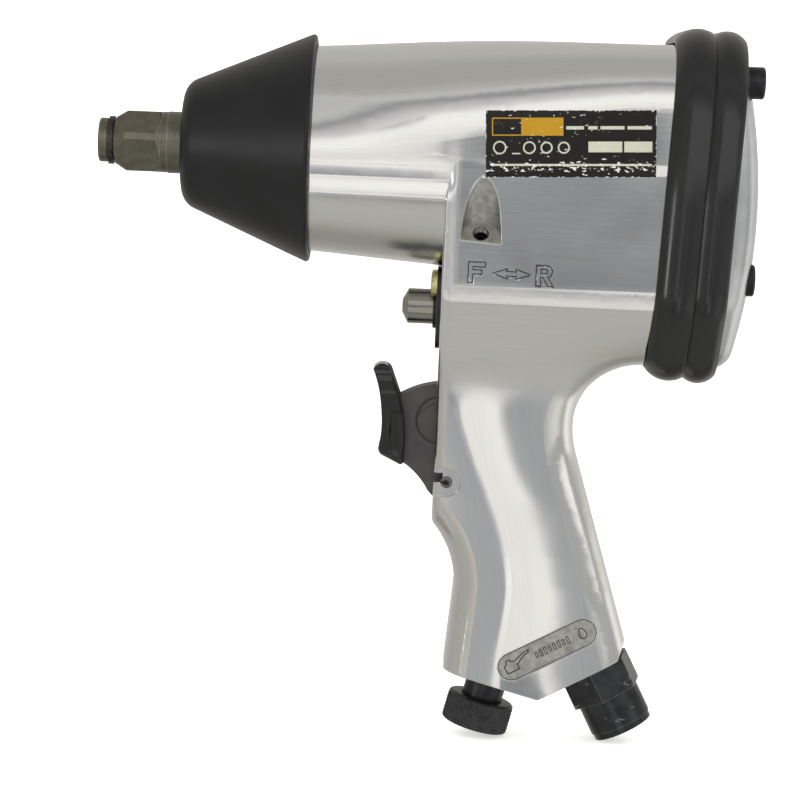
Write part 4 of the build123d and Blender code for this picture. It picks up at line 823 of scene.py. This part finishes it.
class WRENCH_OT_label(bpy.types.Operator):
    """Printed film label laid over the near flank"""
    bl_idname = "wrench.label"
    bl_label = "Label"

    def execute(self, context):
        width, height = LABEL_SIZE
        across, up = np.meshgrid(np.linspace(-0.5, 0.5, 121) * width, np.linspace(-0.5, 0.5, 61) * height,
                                 indexing="ij")
        tilt = np.radians(LABEL_TILT)
        grid = np.stack([LABEL_MIDDLE[0] + across * np.cos(tilt) - up * np.sin(tilt),
                         np.full(across.shape, BESIDE),
                         LABEL_MIDDLE[1] + across * np.sin(tilt) + up * np.cos(tilt)], -1)
        piece = laid_on(grid_piece("flank_label", grid), "housing", True, 0.01 * MM, LABEL_THICKNESS)
        dress(piece, printed_label(context.scene.wrench_colours))
        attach(piece, BODY_OF["housing"])
        return {"FINISHED"}


# ------------------------------------------------------------------ cast marks
LETTER_W, LETTER_H, STEM_W = 4.5, 5.5, 1.25       # millimetres
F_OUTLINE = ((0, 0), (0, LETTER_H), (LETTER_W, LETTER_H), (LETTER_W, LETTER_H - STEM_W),
             (STEM_W, LETTER_H - STEM_W), (STEM_W, 3.45), (3.5, 3.45), (3.5, 2.3),
             (STEM_W, 2.3), (STEM_W, 0))
R_OUTLINE = ((0, 0), (0, LETTER_H), (2.7, LETTER_H), (3.7, 5.2), (4.2, 4.5), (4.25, 3.7), (3.9, 2.9),
             (3.1, 2.45), (4.6, 0), (3.2, 0), (1.9, 2.3), (STEM_W, 2.3), (STEM_W, 0))
R_COUNTER = ((STEM_W, 3.3), (STEM_W, 4.5), (2.4, 4.5), (2.95, 4.25), (3.05, 3.85), (2.8, 3.45), (2.3, 3.3))
ARROW_OUTLINE = ((0, 1.35), (3.9, 2.7), (3.7, 1.95), (6.3, 1.95), (6.1, 2.7), (10.0, 1.35),
                 (6.1, 0), (6.3, 0.75), (3.7, 0.75), (3.9, 0))
MARKS = (("forward_mark", F_OUTLINE, (101.5, -32.8)), ("arrow_mark", ARROW_OUTLINE, (107.9, -31.4)),
         ("reverse_mark", R_OUTLINE, (119.3, -32.9)), ("reverse_mark_counter", R_COUNTER, (119.3, -32.9)))
PAINTED_HIGHLIGHT_SHIFT = (0.26, -0.26)       # of the painted highlight, a lit rim, beside each mark

# Marks in the capsule, in millimetres along and across it from its middle: an oil can, short bars and a drop.
CAN = ((-12.4, -1.4), (-12.6, 0.6), (-11.7, 1.2), (-11.6, 1.9), (-10.6, 2.0), (-10.3, 1.3), (-9.3, 1.1),
       (-6.2, 2.2), (-4.6, 2.3), (-5.0, 1.6), (-6.1, 1.5), (-8.9, 0.0), (-9.0, -1.4))
BARS, BAR_FIRST, BAR_STEP = 8, -3.2, 1.35           # how many, and along the capsule
BAR_HALF_WIDTH, BAR_HALF_HEIGHTS = 0.3, (0.7, 0.95, 0.95)
DROP_MIDDLE, DROP_R = (10.6, -0.4), 1.2
EDGE_INSET = 0.25       # of the painted shade line round the capsule


def drop():
    """Closed teardrop: radius r(a) = R (1 + 0.55 max(0, sin a)^6), pointing across the capsule."""
    turn = np.linspace(0, TAU, 24, endpoint=False)
    radius = DROP_R * (1 + 0.55 * np.maximum(0, np.sin(turn)) ** 6)
    return np.stack([DROP_MIDDLE[0] + radius * np.cos(turn) * 0.85, DROP_MIDDLE[1] + radius * np.sin(turn)], -1)


def capsule_outline():
    """Closed path just inside the recess: two straight runs joined by half circles."""
    turn = np.linspace(-np.pi / 2, np.pi / 2, 13)
    radius = CAPSULE_R / MM - EDGE_INSET
    straight = (CAPSULE_LENGTH / 2 - CAPSULE_R) / MM
    end = np.stack([straight + radius * np.cos(turn), radius * np.sin(turn)], -1)
    return np.vstack([end, -end])


def in_capsule(points):
    """Turns points given along and across the capsule to x and z in metres."""
    points = np.asarray(points, float) * MM
    cos, sin = np.cos(np.radians(CAPSULE_TILT)), np.sin(np.radians(CAPSULE_TILT))
    return np.stack([CAPSULE_MIDDLE[0] + points[:, 0] * cos - points[:, 1] * sin,
                     CAPSULE_MIDDLE[1] + points[:, 0] * sin + points[:, 1] * cos], -1)


def mark_finish(name, dark, light, metallic):
    """Colour painted along a cast mark, a fine, slightly broken line: the dark one is painted shade in its
    groove, the light one a painted highlight on its rim.
    """
    made, place = blank(name)
    colour = mottle(place, 0.6 * MM, dark, light, detail=2.0)[1]
    return finished(made, colour, 0.5, None, {"Metallic": metallic})


class WRENCH_OT_marks(bpy.types.Operator):
    """Turning-direction marks on the flank and plain oiling signs in the capsule recess, drawn in painted
    shade, with painted highlights beside the turning marks
    """
    bl_idname = "wrench.marks"
    bl_label = "Cast marks"

    def execute(self, context):
        # dark is the painted shade in the marks' grooves; light is the painted highlight on their rims
        dark = mark_finish("Cast_groove_shade", "4A4B4D", "606163", 1.0)
        light = mark_finish("Cast_groove_painted_highlight", "BFC1C4", "D2D3D5", 0.0)
        for name, outline, (x, z) in MARKS:
            path = (np.asarray(outline) + (x, z)) * MM
            stroke(name + "_painted_highlight", path + np.array(PAINTED_HIGHLIGHT_SHIFT) * MM, 0.34 * MM, light, lift=0.0)
            stroke(name, path, 0.30 * MM, dark, lift=0.03 * MM)
        # a line of painted shade round the capsule's edge; its signs are drawn in the same painted shade
        stroke("capsule_painted_shade", in_capsule(capsule_outline()), 0.22 * MM, dark, far_side=False)
        stroke("oil_can_sign", in_capsule(CAN), 0.32 * MM, dark, far_side=False)
        stroke("oil_drop_sign", in_capsule(drop()), 0.32 * MM, dark, far_side=False)
        for i in range(BARS):
            along = BAR_FIRST + BAR_STEP * i
            front, back, half = along - BAR_HALF_WIDTH, along + BAR_HALF_WIDTH, BAR_HALF_HEIGHTS[i % 3]
            bar = in_capsule(((front, -half), (front, half), (back, half), (back, -half)))
            stroke(f"plain_bar_{i}", bar, 0.24 * MM, dark, far_side=False)
        return {"FINISHED"}


# ------------------------------------------------------------------ turned and threaded pieces
def axis_frame(axis):
    """Two unit vectors across an axis, the first in the XZ plane."""
    axis = np.asarray(axis, float) / np.linalg.norm(axis)
    side = np.cross((0.0, 1.0, 0.0), axis)
    side /= np.linalg.norm(side)
    return axis, side, np.cross(axis, side)


def round_axis(origin, axis, turns, heights, radii):
    """Grid of points origin + h axis + r (cos t side + sin t other), for arrays t, h and r of one shape."""
    axis, side, other = axis_frame(axis)
    ring = np.cos(turns)[..., None] * side + np.sin(turns)[..., None] * other
    return np.asarray(origin) + heights[..., None] * axis + radii[..., None] * ring


def saw(share):
    """Triangle wave: 0 at whole numbers, 1 half way between."""
    return 1 - np.abs(2 * (share - np.floor(share)) - 1)


KNOB_HEAD = (6.4 * MM, 14.8 * MM)       # along the axis from the sole
KNOB_R = 9.3 * MM
KNOB_ROUND = 1.2 * MM
KNOB_CHAMFER = 0.3 * MM
KNOB_HOLE = (5.62 * MM, 10.62 * MM)     # radius, and how far out from the sole it ends
KNURL_PITCH = 2.0 * MM                  # along the axis


class WRENCH_OT_knob(bpy.types.Operator):
    """Regulator knob with a diamond knurl"""
    bl_idname = "wrench.knob"
    bl_label = "Knurled knob"

    def execute(self, context):
        sizes = context.scene.wrench_sizes
        joint = next(j for j in RECORD["behaviour"]["joints"] if j["name"] == "regulator_turn")
        low, high = KNOB_HEAD
        hole_r, hole_end = KNOB_HOLE
        bend = np.linspace(0, np.pi / 2, 7)
        core = KNOB_R - KNOB_ROUND
        flats = np.linspace(low + KNOB_ROUND, high - KNOB_ROUND, 37)[1:-1]
        heights = np.concatenate([
            [hole_end, hole_end, low + KNOB_CHAMFER, low, low], low + KNOB_ROUND * (1 - np.cos(bend)),
            flats, high - KNOB_ROUND * (1 - np.sin(bend)), [high]])
        radii = np.concatenate([
            [0, hole_r, hole_r, hole_r + KNOB_CHAMFER, (hole_r + core) / 2], core + KNOB_ROUND * np.sin(bend),
            np.full(flats.shape, KNOB_R), core + KNOB_ROUND * np.cos(bend), [0]])
        # Diamond knurl: r = R - depth (1 - min(saw(u), saw(v))), with u, v = n t / 2 pi +- h / pitch.
        turns = np.linspace(0, TAU, sizes.knurls * 8 + 1)[:, None]
        u, v = (sizes.knurls * turns / TAU + sign * heights[None] / KNURL_PITCH for sign in (1, -1))
        depth = sizes.knurl_depth * (np.abs(radii - KNOB_R) < 0.05 * MM)[None]
        groove = depth * (1 - np.minimum(saw(u), saw(v)))
        grid = round_axis(joint["pos_m"], joint["axis"], np.broadcast_to(turns, groove.shape),
                          np.broadcast_to(heights, groove.shape), radii[None] - groove)
        piece = grid_piece("knurled_knob", grid, wrap_rows=True)
        face_outwards(piece.data)
        piece.data.set_sharp_from_angle(angle=np.radians(24))
        dress(piece, MATERIALS["knob_black"])
        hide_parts("regulator_knob")
        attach(piece, BODY_OF["regulator_knob"])
        return {"FINISHED"}


PORT_LEAN = np.radians(38)      # of the oil port's tapped hole, up from the horizon
PORT_OUT = np.array([0.0, -np.cos(PORT_LEAN), np.sin(PORT_LEAN)])
PORT_MOUTH = 4.3 * MM           # from the middle of the plug, outwards
# Root radius, crest radius, pitch and length in millimetres, turned parts.
PORT_THREAD = (2.1, 1.75, 0.7, 2.4)


def tapped_thread(name, mouth, out, thread):
    """Closed sleeve whose inner wall is a thread: r = root - (root - crest) saw(h / pitch - t / 2 pi).

    It starts at the mouth and runs inwards; its outer wall lies in the metal round the hole.
    """
    root, crest, pitch, long = thread
    inner = np.linspace(0, long, int(long / pitch * 8))
    heights = np.concatenate([inner, inner[[-1, 0, 0]]]) * MM
    turns = np.linspace(0, TAU, 65)[:, None]
    depth = (root - crest) * saw(inner[None] / pitch - turns / TAU) * np.clip(inner / pitch, 0, 1)
    wall = np.full((65, 1), root + 0.15)
    radii = np.hstack([root - depth, wall, wall, (root - depth)[:, :1]]) * MM
    grid = round_axis(mouth, out, np.broadcast_to(turns, radii.shape),
                      np.broadcast_to(-heights, radii.shape), radii)
    piece = grid_piece(name, grid, wrap_rows=True, wrap_columns=True)
    face_outwards(piece.data)
    dress(piece, metal("Tapped_cast_aluminium", "8A8984", "B5B4AF", 0.25, 0.35, 0.5 * MM))
    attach(piece, BODY_OF["housing"])


class WRENCH_OT_threads(bpy.types.Operator):
    """Tapped thread in the oil port"""
    bl_idname = "wrench.threads"
    bl_label = "Tapped thread"

    def execute(self, context):
        middle = np.array(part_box("oil_plug")).mean(0)
        tapped_thread("oil_port_thread", middle + PORT_MOUTH * PORT_OUT, PORT_OUT, PORT_THREAD)
        return {"FINISHED"}


OPERATORS = (WRENCH_OT_stage, WRENCH_OT_finishes, WRENCH_OT_label, WRENCH_OT_marks, WRENCH_OT_knob,
             WRENCH_OT_threads)


class WRENCH_PT_panel(bpy.types.Panel):
    """Lists the wrench's operators and settings"""
    bl_idname = "WRENCH_PT_panel"
    bl_label = "Impact wrench"
    bl_space_type = "VIEW_3D"
    bl_region_type = "UI"
    bl_category = "Wrench"

    def draw(self, context):
        for operator in OPERATORS:
            self.layout.operator(operator.bl_idname)
        for group in (context.scene.wrench_sizes, context.scene.wrench_colours):
            for name in group.__annotations__:
                self.layout.prop(group, name)


CLASSES = (WrenchSizes, WrenchColours, *OPERATORS, WRENCH_PT_panel)


def register():
    for cls in CLASSES:
        bpy.utils.register_class(cls)
    bpy.types.Scene.wrench_sizes = bpy.props.PointerProperty(type=WrenchSizes)
    bpy.types.Scene.wrench_colours = bpy.props.PointerProperty(type=WrenchColours)


def unregister():
    del bpy.types.Scene.wrench_sizes
    del bpy.types.Scene.wrench_colours
    for cls in reversed(CLASSES):
        bpy.utils.unregister_class(cls)


MATERIALS = {}


def main():
    register()
    MATERIALS.update(make_materials())
    for operator in OPERATORS:
        group, name = operator.bl_idname.split(".")
        getattr(getattr(bpy.ops, group), name)()


if __name__ == "__main__":
    main()
